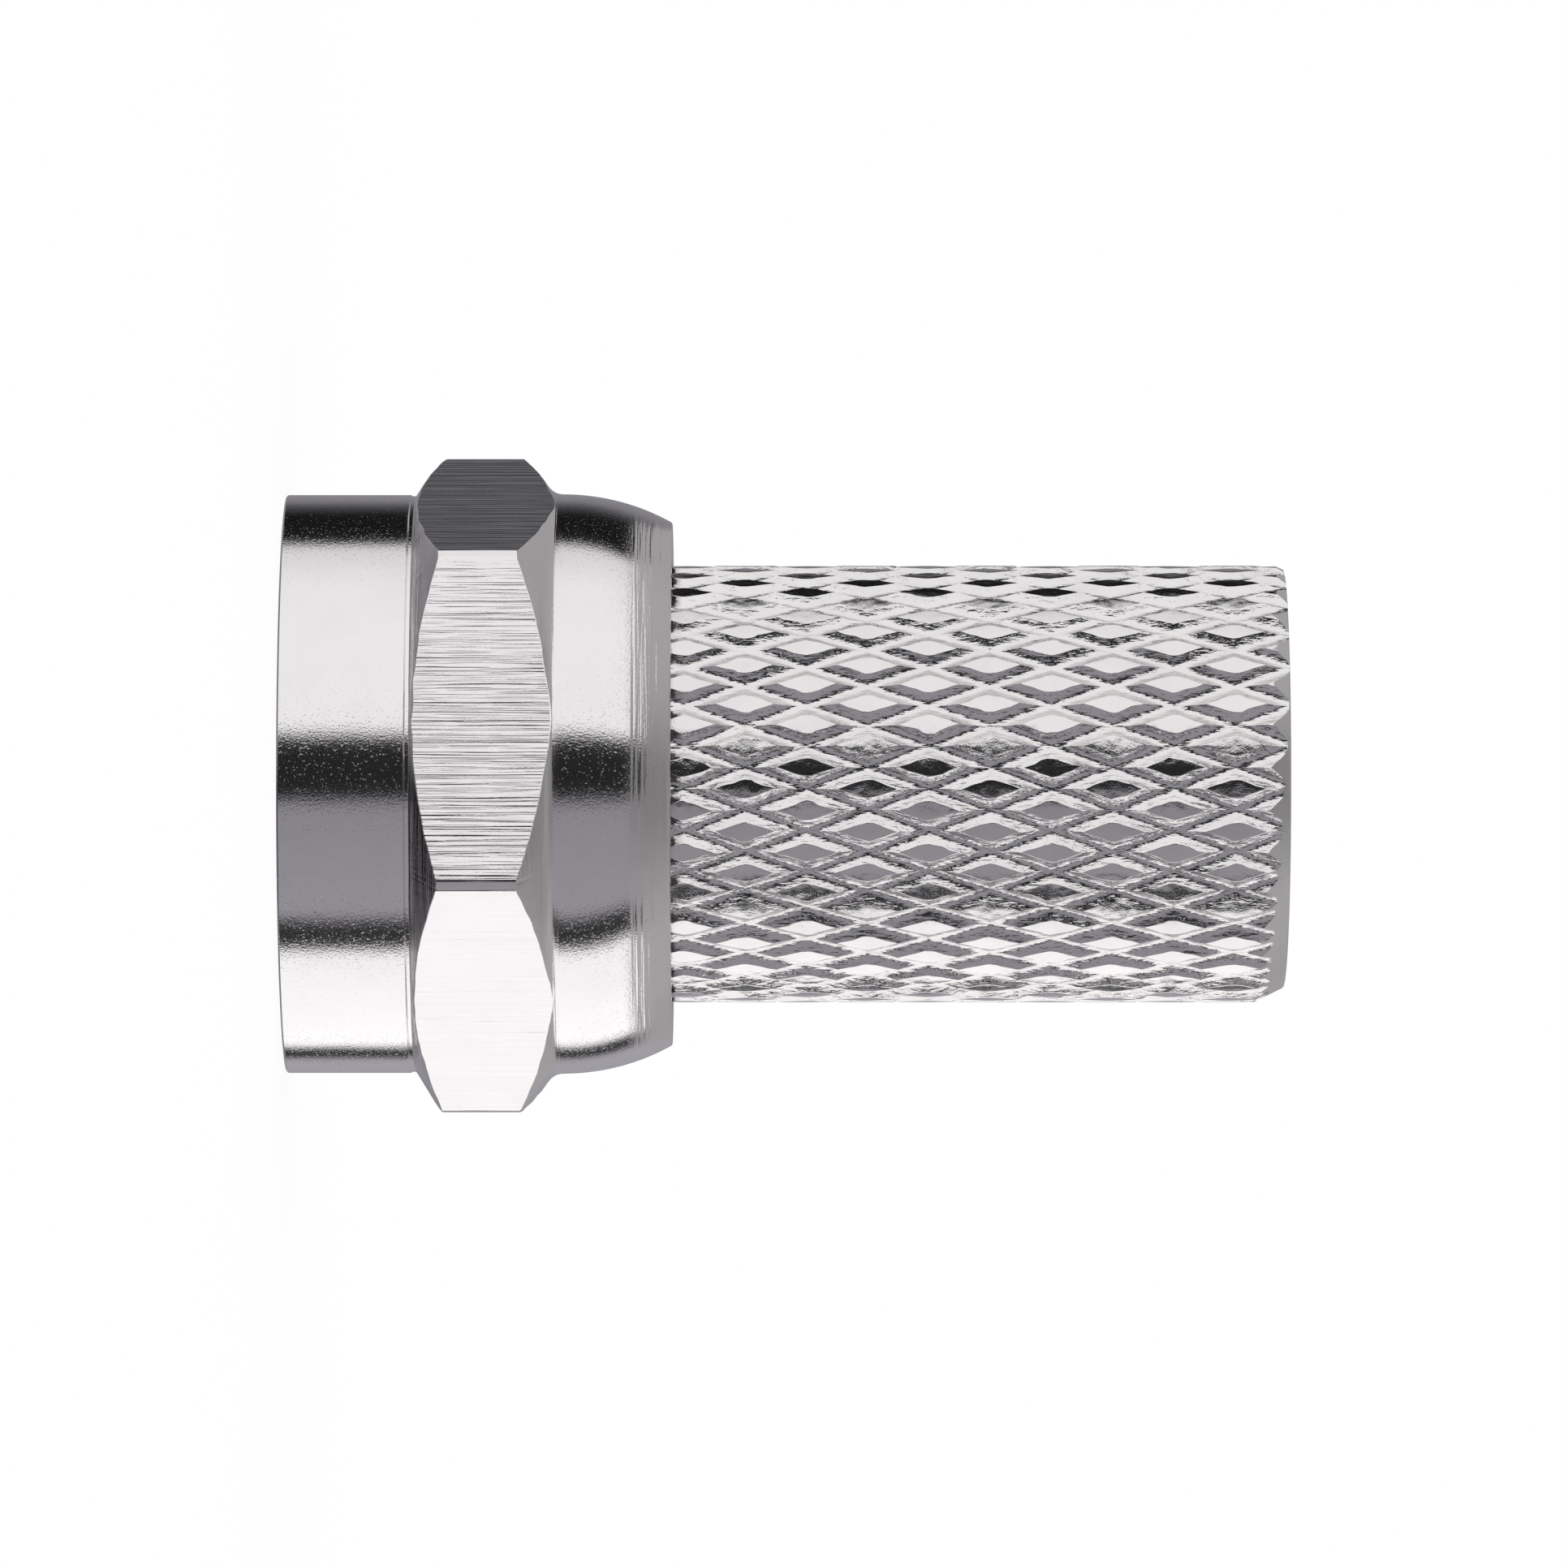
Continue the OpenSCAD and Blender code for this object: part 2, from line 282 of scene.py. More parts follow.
class Sheet:
    """Adds nodes to one tree and links them."""

    def __init__(self, tree: bpy.types.NodeTree) -> None:
        """Work on a node tree."""
        self.tree = tree

    def feed(self, socket: Socket, value: Any) -> None:
        """Link a socket to another, or set it to a plain value."""
        if isinstance(value, Socket):
            self.tree.links.new(value, socket)
        else:
            socket.default_value = value

    def node(self, kind: str, inputs: Optional[dict[Union[int, str], Any]] = None,
             **settings: Any) -> bpy.types.Node:
        """Add a node.

        Args:
            kind: Blender's name of the node type.
            inputs: A value or a socket for each input, by its name or number.
            settings: Properties of the node by name.

        Returns:
            The node.
        """
        made = self.tree.nodes.new(kind)
        for key, value in settings.items():
            setattr(made, key, value)
        for key, value in (inputs or {}).items():
            self.feed(made.inputs[key], value)
        return made

    def math(self, operation: str, *values: Value) -> Socket:
        """Work out one of Blender's Math operations on numbers or sockets."""
        return self.node("ShaderNodeMath", dict(enumerate(values)), operation=operation).outputs[0]

    def total(self, *values: Value) -> Value:
        """Add numbers, from the first to the last."""
        return reduce(lambda one, other: self.math("ADD", one, other), values)

    def product(self, *values: Value) -> Value:
        """Multiply numbers, from the first to the last."""
        return reduce(lambda one, other: self.math("MULTIPLY", one, other), values)

    def less(self, value: Value, other: Value) -> Socket:
        """Take the second number from the first."""
        return self.math("SUBTRACT", value, other)

    def over(self, value: Value, other: Value) -> Socket:
        """Divide the first number by the second."""
        return self.math("DIVIDE", value, other)

    def clamp(self, value: Value) -> Socket:
        """Keep a number between 0 and 1."""
        return self.math("MINIMUM", self.math("MAXIMUM", value, 0.0), 1.0)

    def span(self, value: Value, low: float, high: float, to: tuple[float, float] = (0.0, 1.0),
             shape: str = "LINEAR") -> Socket:
        """Map one span of numbers on another, and keep them in it.

        Args:
            value: The number that is mapped.
            low: Start of its span.
            high: End of its span.
            to: Start and end of the other span.
            shape: Blender's name of the way between them.

        Returns:
            The mapped number.
        """
        return self.node("ShaderNodeMapRange", {"Value": value, "From Min": low, "From Max": high,
                                                "To Min": to[0], "To Max": to[1]},
                         interpolation_type=shape).outputs[0]

    def vector(self, x: Value, y: Value, z: Value) -> Socket:
        """Join three numbers in a vector."""
        return self.node("ShaderNodeCombineXYZ", {0: x, 1: y, 2: z}).outputs[0]

    def parts(self, vector: Socket) -> tuple[Socket, ...]:
        """Split a vector in its three numbers."""
        return tuple(self.node("ShaderNodeSeparateXYZ", {0: vector}).outputs)

    def vectors(self, operation: str, *values: Any) -> bpy.types.Node:
        """Work out one of Blender's Vector Math operations, and return its node."""
        return self.node("ShaderNodeVectorMath", dict(enumerate(values)), operation=operation)

    def around(self, angle: Value, radius: Value, height: Value) -> Socket:
        """Return the place at an angle, in radians, and a radius about the axis."""
        return self.vector(self.product(radius, self.math("COSINE", angle)),
                           self.product(radius, self.math("SINE", angle)), height)

    def from_axis(self, x: Value, y: Value) -> tuple[Socket, Socket]:
        """Return a place's vector from the axis and that vector's length."""
        flat = self.vector(x, y, 0.0)
        return flat, self.vectors("LENGTH", flat).outputs["Value"]

    def noise(self, vector: Socket, scale: Value = 1.0, detail: float = 2.0,
              roughness: float = 0.5) -> bpy.types.Node:
        """Add a 3-D noise.

        Args:
            vector: Where it is read.
            scale: Waves for each unit of the vector.
            detail: Octaves past the first.
            roughness: Share that each octave keeps.

        Returns:
            The node.
        """
        return self.node("ShaderNodeTexNoise", {"Vector": vector, "Scale": scale,
                                                "Detail": detail, "Roughness": roughness})

    def surface(self, shader: Socket) -> None:
        """End a material's tree in its shader."""
        self.node("ShaderNodeOutputMaterial", {"Surface": shader})


def bare_material(name: str) -> tuple[bpy.types.Material, Sheet]:
    """Return a new material without nodes, and the sheet that adds them."""
    material = bpy.data.materials.new(name)
    material.use_nodes = True
    material.node_tree.nodes.clear()
    return material, Sheet(material.node_tree)


class ShapeRule:
    """A Geometry Nodes tree with named inputs, run once on a mesh."""

    def __init__(self, name: str, asked: dict[str, tuple[str, Any]]) -> None:
        """Start a tree that takes and gives geometry.

        Args:
            name: Name of the tree.
            asked: Kind of each named input, Float, Int, Bool, Object or Material, and its value.
        """
        self.tree = bpy.data.node_groups.new(name, "GeometryNodeTree")
        for way in ("INPUT", "OUTPUT"):
            self.tree.interface.new_socket("Geometry", in_out=way,
                                           socket_type="NodeSocketGeometry")
        self.asked = {**asked, "Material": ("Material", None), "Dress": ("Bool", False)}
        for key, (kind, _) in self.asked.items():
            self.tree.interface.new_socket(key, in_out="INPUT", socket_type=f"NodeSocket{kind}")
        self.sheet = Sheet(self.tree)
        self.given = self.sheet.node("NodeGroupInput").outputs

    def finish(self, geometry: Socket) -> None:
        """End the tree in Realize Instances and Set Material."""
        realize = self.sheet.node("GeometryNodeRealizeInstances", {"Geometry": geometry})
        material = self.sheet.node("GeometryNodeSetMaterial", {
            "Geometry": realize.outputs[0], "Material": self.given["Material"],
            "Selection": self.given["Dress"]})
        self.sheet.node("NodeGroupOutput", {0: material.outputs[0]})

    def run(self, piece: bpy.types.Object, name: str) -> bpy.types.Object:
        """Run the tree on an object and keep the result as a plain mesh.

        Args:
            piece: Object that the tree reads. It is removed.
            name: Name of the new object.

        Returns:
            The new object.
        """
        modifier = piece.modifiers.new(self.tree.name, "NODES")
        modifier.node_group = self.tree
        for item in self.tree.interface.items_tree:
            if item.in_out == "INPUT" and item.name in self.asked:
                modifier[item.identifier] = self.asked[item.name][1]
        return settle(piece, name)


# Finishes


class Lay(Enum):
    """Direction of the marks that a tool left in the metal."""

    NONE = "none"
    AXIAL = "axial"
    AROUND = "around"


@dataclass(frozen=True)
class Nickel:
    """Bright nickel plating over a surface as the tool left it.

    Attributes:
        name: Name of the material.
        colour: Colour of the plating, linear.
        shade: Colour where the plating is a little duller, linear.
        roughness: Roughness of the plating.
        grain: Size of the fine grain.
        grain_slope: Steepness of the grain.
        lay: Direction of the tool marks.
        mark: Distance between tool marks.
        mark_length: Length of a tool mark.
        mark_slope: Steepness of the tool marks.
        wave: Size of the slow waves of the surface.
        wave_slope: Steepness of the slow waves.
        speck_slope: Steepness of sparse specks among the grain.
        torn_below: Radius under which the metal was torn by a tool. 0 has none.
        torn: Size of the torn grain.
        torn_slope: Steepness of the torn grain.

    SPECKS is the span of the fine grain that rises as specks. PATCH is the size of the duller
    patches, PATCHES the span of their noise that changes the colour, and DULLNESS what they
    multiply the roughness by. TORN_STRETCH is how the torn grain shrinks along each axis, and
    TORN_FADE the depth over which it sets in. NOISE_STEEPNESS levels the slope of noise.
    MARK_RADIUS is the radius at which a mark has its length, and MARK_SHARE its share across.
    """

    name: str
    colour: Colour = (0.80, 0.775, 0.782)
    shade: Colour = (0.77, 0.745, 0.752)
    roughness: float = 0.1
    grain: float = 0.04
    grain_slope: float = 0.04
    lay: Lay = Lay.NONE
    mark: float = 0.06
    mark_length: float = 3.0
    mark_slope: float = 0.0
    wave: float = 0.8
    wave_slope: float = 0.002
    speck_slope: float = 0.0
    torn_below: float = 0.0
    torn: float = 0.06
    torn_slope: float = 0.0
    SPECKS: ClassVar[tuple[float, float]] = (0.65, 0.74)
    PATCH: ClassVar[float] = 0.9
    PATCHES: ClassVar[tuple[float, float]] = (0.42, 0.78)
    DULLNESS: ClassVar[tuple[float, float]] = (0.88, 1.16)
    TORN_STRETCH: ClassVar[Colour] = (1.0, 1.0, 0.15)
    TORN_FADE: ClassVar[float] = 0.02
    NOISE_STEEPNESS: ClassVar[float] = 1.4
    MARK_RADIUS: ClassVar[float] = 5.5
    MARK_SHARE: ClassVar[float] = 0.75

    def build(self) -> bpy.types.Material:
        """Build the material's nodes.

        Returns:
            The material.
        """
        material, sheet = bare_material(self.name)
        material.diffuse_color = (*self.colour, 1.0)
        place = sheet.node("ShaderNodeTexCoord").outputs["Object"]

        height = sheet.noise(place, 1 / (self.wave * MM), 1.0)
        normal = self.bump(sheet, height.outputs[0], self.wave, self.wave_slope, None)
        if self.lay is not Lay.NONE:
            marks = sheet.noise(self.along(sheet, place), 1.0, 3.0, 0.65)
            normal = self.bump(sheet, marks.outputs[0], self.mark, self.mark_slope, normal)
        if self.torn_below:
            longer = sheet.vectors("MULTIPLY", place, self.TORN_STRETCH).outputs[0]
            tears = sheet.noise(longer, 1 / (self.torn * MM), 2.0, 0.6)
            normal = self.bump(sheet, tears.outputs[0], self.torn, self.torn_slope, normal,
                               self.under(sheet, place))
        fine = sheet.noise(place, 1 / (self.grain * MM), 2.0, 0.6)
        normal = self.bump(sheet, fine.outputs[0], self.grain, self.grain_slope, normal)

        if self.speck_slope:
            specks = sheet.noise(place, 1 / (self.grain * MM), 1.0)
            dots = sheet.span(specks.outputs[0], *self.SPECKS, shape="SMOOTHSTEP")
            normal = self.bump(sheet, dots, self.grain * 0.5, self.speck_slope, normal)

        patches = sheet.noise(place, 1 / (self.PATCH * MM), 3.0, 0.6).outputs[0]
        blend = sheet.node("ShaderNodeMix", {
            "Factor": sheet.span(patches, *self.PATCHES), "A": (*self.colour, 1.0),
            "B": (*self.shade, 1.0)}, data_type="RGBA")
        low, high = (self.roughness * share for share in self.DULLNESS)
        shader = sheet.node("ShaderNodeBsdfPrincipled", {
            "Metallic": 1.0, "Base Color": blend.outputs["Result"],
            "Roughness": sheet.span(patches, 0.0, 1.0, (low, high)), "Normal": normal})
        sheet.surface(shader.outputs[0])
        return material

    def under(self, sheet: Sheet, place: Socket) -> Socket:
        """Return 1 where the surface lies nearer the axis than the untouched tops, or else 0."""
        x, y, _ = sheet.parts(place)
        _, radius = sheet.from_axis(x, y)
        return sheet.span(radius, self.torn_below * MM, (self.torn_below - self.TORN_FADE) * MM)

    def bump(self, sheet: Sheet, height: Socket, size: float, slope: float,
             normal: Optional[Socket], strength: Value = 1.0) -> Socket:
        """Tilt the surface by a height that varies.

        Args:
            sheet: The material's nodes.
            height: A height from 0 to 1.
            size: Distance between its waves.
            slope: Steepness that it gives the surface.
            normal: Direction of the surface so far.
            strength: Share of the tilt that is kept.

        Returns:
            The new direction of the surface.
        """
        inputs = {"Strength": strength, "Height": height,
                  "Distance": slope * size * MM * self.NOISE_STEEPNESS}
        if normal is not None:
            inputs["Normal"] = normal
        return sheet.node("ShaderNodeBump", inputs).outputs[0]

    def along(self, sheet: Sheet, place: Socket) -> Socket:
        """Stretch the place along the lay, so that noise read there makes tool marks.

        Args:
            sheet: The material's nodes.
            place: Object coordinates, in metres.

        Returns:
            The stretched place, in marks.
        """
        x, y, z = sheet.parts(place)
        flat, radius = sheet.from_axis(x, y)
        ux, uy, _ = sheet.parts(sheet.vectors("NORMALIZE", flat).outputs["Vector"])
        if self.lay is Lay.AXIAL:
            turns = self.MARK_RADIUS / self.mark
            across = sheet.product(z, 1 / (self.mark_length * MM))
        else:
            turns = self.MARK_RADIUS / self.mark_length
            across = sheet.product(sheet.total(z, radius), self.MARK_SHARE / (self.mark * MM))
        return sheet.vector(sheet.product(ux, turns), sheet.product(uy, turns), across)


# Threads


@dataclass
class Thread:
    """An internal right-hand thread that is cut in the wall of a turned bore.

    Attributes:
        pitch: Distance between turns.
        minor_r: Radius over the crests.
        major_r: Radius at the roots.
        crest: Share of the pitch that a crest keeps flat.
        root: Share of the pitch that a root is flat.
    """

    pitch: float
    minor_r: float
    major_r: float
    crest: float = 0.25
    root: float = 0.125

    def rule(self) -> ShapeRule:
        """Build the tree that moves the bore's wall out along a helix.

        Returns:
            The tree, with its sizes set.
        """
        rule = ShapeRule("cut_thread", {
            "Pitch": ("Float", self.pitch * MM),
            "Minor Radius": ("Float", self.minor_r * MM),
            "Depth": ("Float", (self.major_r - self.minor_r) * MM),
            "Crest": ("Float", self.crest),
            "Root": ("Float", self.root)})
        sheet, given = rule.sheet, rule.given
        x, y, z = sheet.parts(sheet.node("GeometryNodeInputPosition").outputs[0])
        angle = sheet.math("ARCTAN2", y, x)
        radius = sheet.math("SQRT", sheet.total(sheet.product(x, x), sheet.product(y, y)))
        turns = sheet.less(sheet.over(z, given["Pitch"]), sheet.over(angle, 2 * math.pi))
        away = sheet.math("ABSOLUTE", sheet.less(sheet.math("FRACT", turns), 0.5))
        edge = sheet.less(0.5, sheet.product(given["Crest"], 0.5))
        flank = sheet.less(edge, sheet.product(given["Root"], 0.5))
        share = sheet.clamp(sheet.over(sheet.less(edge, away), flank))
        groove = sheet.total(given["Minor Radius"], sheet.product(share, given["Depth"]))
        wanted = sheet.math("MAXIMUM", radius, groove)
        flag = sheet.node("GeometryNodeInputNamedAttribute", {"Name": "thread_cut"},
                          data_type="FLOAT")
        chosen = sheet.node("FunctionNodeCompare", {0: flag.outputs[0], 1: 0.5},
                            data_type="FLOAT", operation="GREATER_THAN")
        move = sheet.node("GeometryNodeSetPosition", {
            "Geometry": given["Geometry"], "Selection": chosen.outputs[0],
            "Position": sheet.around(angle, wanted, z)})
        rule.finish(move.outputs[0])
        return rule


# The nut


class NutFinish(Enum):
    """Surfaces of the nut that a tool left differently."""

    TURNED = 0
    FLAT = 1
    CHAMFER = 2
    BORE = 3


@dataclass
class CouplingNut:
    """Nut turned from hexagonal bar: skirt, hexagon and a collar rolled in behind the flange.

    Attributes:
        flat_r: Half the width across the flats.
        corner_radius: Radius of the bar's corners.
        corner_r: Radius that the corners are cut back to.
        skirt_r: Radius of the skirt.
        skirt_end: Height of the skirt's root at the hexagon.
        mouth_break: Edge break round the mouth.
        front_angle: Angle of the front chamfer, from the plane across the axis.
        rear_angle: Angle of the rear chamfer, from the plane across the axis.
        collar_r: Radius of the collar.
        hex_end: Height at which the rear chamfer would meet the collar.
        fillet_r: Radius of the fillet there.
        roll_r: Radius of the collar's curve.
        end: Height of the rolled end.
        lip_r: Radius of the hole in the lip.
        lip_start: Height of that hole's lower edge.
        seat_r: Radius of the flange's seat.
        seat_end: Height of the seat's upper end.
        thread_end: Height of the last turn of the thread.
        lead_in: Depth of the 45 degree lead-in at the mouth.
        thread: The coupling thread.
        side_columns: Columns across one flat.
        corner_columns: Columns round one corner.
        relief: Depth of the tool's relief in the skirt's root.
        relief_start: How far ahead of the root it starts.
        streaked_from: Share of the collar's curve after which it is streaked by the rolling.
        seed: Seed of the edges' small steps.

    ROLL_STEPS, REAR_STEPS, FILLET_STEPS and CONE_STEPS are faces along each curve, and
    ROWS_PER_PITCH along one turn of the thread. OVERSHOOT is how far out past the corners the
    rear cone starts. THREAD_ENDS is how far the thread's rows stay from the mouth and from its
    end.
    """

    flat_r: float = 5.5
    corner_radius: float = 0.26
    corner_r: float = 6.298
    skirt_r: float = 5.45
    skirt_end: float = 2.47
    mouth_break: float = 0.03
    front_angle: float = 30.0
    rear_angle: float = 36.0
    collar_r: float = 5.465
    hex_end: float = 5.04
    fillet_r: float = 0.34
    roll_r: float = 4.2
    end: float = 7.27
    lip_r: float = 4.25
    lip_start: float = 6.73
    seat_r: float = 4.78
    seat_end: float = 6.2
    thread_end: float = 4.75
    lead_in: float = 0.45
    thread: Thread = field(default_factory=lambda: Thread(0.794, 4.34, 4.76))
    side_columns: int = 46
    corner_columns: int = 10
    relief: float = 0.02
    relief_start: float = 0.13
    streaked_from: float = 0.6
    seed: int = 11
    ROLL_STEPS: ClassVar[int] = 16
    REAR_STEPS: ClassVar[int] = 10
    FILLET_STEPS: ClassVar[int] = 12
    CONE_STEPS: ClassVar[int] = 7
    OVERSHOOT: ClassVar[float] = 0.2
    ROWS_PER_PITCH: ClassVar[int] = 16
    THREAD_ENDS: ClassVar[tuple[float, float]] = (0.03, 0.001)

    def columns(self) -> tuple[np.ndarray, np.ndarray]:
        """Place the columns closer together round the corners.

        Returns:
            The angle of each column, and its distance from the middle of its flat, in degrees.
        """
        tangent = math.degrees(math.atan2(
            (self.flat_r - self.corner_radius) * math.tan(math.radians(30)), self.flat_r))
        flat = np.linspace(-tangent, tangent, self.side_columns + 1)
        corner = np.linspace(tangent, 60 - tangent, self.corner_columns + 1)[1:-1]
        local = np.concatenate([flat, corner])
        away = np.where(local > 30, local - 60, local)
        angles = np.concatenate([local + 60 * side - 90 for side in range(6)])
        return angles, np.tile(away, 6)

    def bar(self, away: np.ndarray) -> np.ndarray:
        """Return the radius of the bar at an angle from the middle of a flat."""
        swing = np.radians(30 - np.abs(away))
        centre = (self.flat_r - self.corner_radius) / math.cos(math.radians(30))
        straight = self.flat_r / np.cos(np.radians(away))
        inside = np.maximum(self.corner_radius ** 2 - (centre * np.sin(swing)) ** 2, 0)
        round_part = centre * np.cos(swing) + np.sqrt(inside)
        at_corner = np.tan(np.radians(np.abs(away))) * self.flat_r > (
            (self.flat_r - self.corner_radius) * math.tan(math.radians(30)))
        return np.minimum(np.where(at_corner, round_part, straight), self.corner_r)

    def rear_profile(self) -> tuple[np.ndarray, np.ndarray]:
        """Return radii and heights from the rear chamfer through the fillet to the collar."""
        slope = math.radians(self.rear_angle)
        sweep = math.radians(90 - self.rear_angle)
        reach = self.fillet_r * math.tan(sweep / 2)
        centre = (self.collar_r + self.fillet_r, self.hex_end + reach)
        turn = np.linspace(math.pi + sweep, math.pi, self.FILLET_STEPS + 1)
        radii = centre[0] + self.fillet_r * np.cos(turn)
        heights = centre[1] + self.fillet_r * np.sin(turn)
        cone = np.linspace(self.corner_r + self.OVERSHOOT, radii[0], self.CONE_STEPS + 1)[:-1]
        cone_z = self.hex_end - (cone - self.collar_r) * math.tan(slope)
        return np.concatenate([cone, radii]), np.concatenate([cone_z, heights])

    def form(self) -> TurnedForm:
        """Lay out the nut's profile at every column.

        Returns:
            The closed surface, before its thread is cut.
        """
        chance = np.random.default_rng(self.seed)
        angles, away = self.columns()
        bar = self.bar(away)
        form = TurnedForm(angles)
        cut_in = self.thread.minor_r + self.lead_in
        chamfer, turned = NutFinish.CHAMFER.value, NutFinish.TURNED.value
        bore, flat = NutFinish.BORE.value, NutFinish.FLAT.value

        def ragged(size: float) -> np.ndarray:
            """Return small steps from column to column, as a plated edge has."""
            step = chance.normal(0, size, len(angles))
            return 0.5 * step + 0.25 * (np.roll(step, 1) + np.roll(step, -1))

        form.add(cut_in, 0, chamfer, 0.02)
        form.add(self.skirt_r - self.mouth_break, 0, chamfer, 0.01)
        form.add(self.skirt_r, self.mouth_break, turned, 0.01)
        form.add(self.skirt_r, self.skirt_end * 0.5, turned)
        relief = self.skirt_end - self.relief_start
        form.add(self.skirt_r, relief - 0.03, turned)
        form.add(self.skirt_r, relief + ragged(0.004), turned, 0.01)
        form.add(self.skirt_r - self.relief, relief + 0.03, turned, 0.01)
        form.add(self.skirt_r - self.relief, self.skirt_end - 0.03, chamfer, 0.012)
        rise = math.tan(math.radians(self.front_angle))
        form.add(bar, self.skirt_end + (bar - self.skirt_r) * rise + ragged(0.012), flat, 0.022)
        form.add(bar, (self.skirt_end + self.hex_end) / 2, flat)

        radii, heights = self.rear_profile()
        length = np.concatenate([[0], np.cumsum(np.hypot(np.diff(radii), np.diff(heights)))])
        start = np.interp(-bar, -radii, length)
        shift = ragged(0.010)
        for step in range(self.REAR_STEPS + 1):
            share = step / self.REAR_STEPS
            along = start + (length[-1] - start) * share
            form.add(np.interp(along, length, radii), np.interp(along, length, heights)
                     + shift * (1 - share) ** 3, chamfer if step < self.REAR_STEPS else turned,
                     0.016 if step == 0 else 0)

        roll_start = heights[-1]
        sweep = math.asin((self.end - roll_start) / self.roll_r)
        for step in range(1, self.ROLL_STEPS + 1):
            turn = sweep * step / self.ROLL_STEPS
            form.add(self.collar_r - self.roll_r * (1 - math.cos(turn)),
                     roll_start + self.roll_r * math.sin(turn),
                     chamfer if step >= self.ROLL_STEPS * self.streaked_from else turned,
                     0.03 if step == self.ROLL_STEPS else 0)
        form.add(self.lip_r + 0.02, self.end, bore, 0.035)
        form.add(self.lip_r, self.lip_start, bore, 0.02)
        form.add(self.seat_r, self.seat_end, bore, 0.02)
        form.add(self.seat_r, self.thread_end, bore, 0.02)
        step = self.thread.pitch / self.ROWS_PER_PITCH
        first, last = self.THREAD_ENDS
        rows = int((self.thread_end - first) / step)
        for height in np.linspace(self.thread_end - last, first, rows):
            form.add(max(self.thread.minor_r, cut_in - height), height, bore, 0, True)
        return form

    def build(self) -> bpy.types.Object:
        """Build the nut and put it in place of its CAD node.

        Returns:
            The finished piece.
        """
        _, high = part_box("coupling_nut")
        self.flat_r = high.y / MM
        self.end = high.z / MM
        mesh = self.form().mesh("coupling_nut_turned")
        piece = self.thread.rule().run(add_object("coupling_nut_blank", mesh), "hex_coupling_nut")
        coat(piece.data, [finish.build() for finish in NUT_FINISHES.values()])
        soften(piece.data)
        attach(piece, "coupling_nut")
        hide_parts("coupling_nut")
        return piece


NUT_FINISHES: dict[NutFinish, Nickel] = {
    NutFinish.TURNED: Nickel("nickel_turned", grain_slope=0.04, speck_slope=0.035,
                             lay=Lay.AROUND, mark=0.05, mark_length=6.0, mark_slope=0.01),
    NutFinish.FLAT: Nickel("nickel_bar_flat", roughness=0.11, grain_slope=0.02, lay=Lay.AXIAL,
                           mark=0.1, mark_length=7.0, mark_slope=0.11),
    NutFinish.CHAMFER: Nickel("nickel_chamfer", roughness=0.13, grain_slope=0.04,
                              lay=Lay.AROUND, mark=0.08, mark_length=9.0, mark_slope=0.16),
    NutFinish.BORE: Nickel("nickel_bore", roughness=0.25, grain_slope=0.04,
                           lay=Lay.AROUND, mark=0.06, mark_length=8.0, mark_slope=0.03),
}


# The body


class BodyFinish(Enum):
    """Surfaces of the body that a tool left differently."""

    KNURL = 0
    TURNED = 1
    BORE = 2


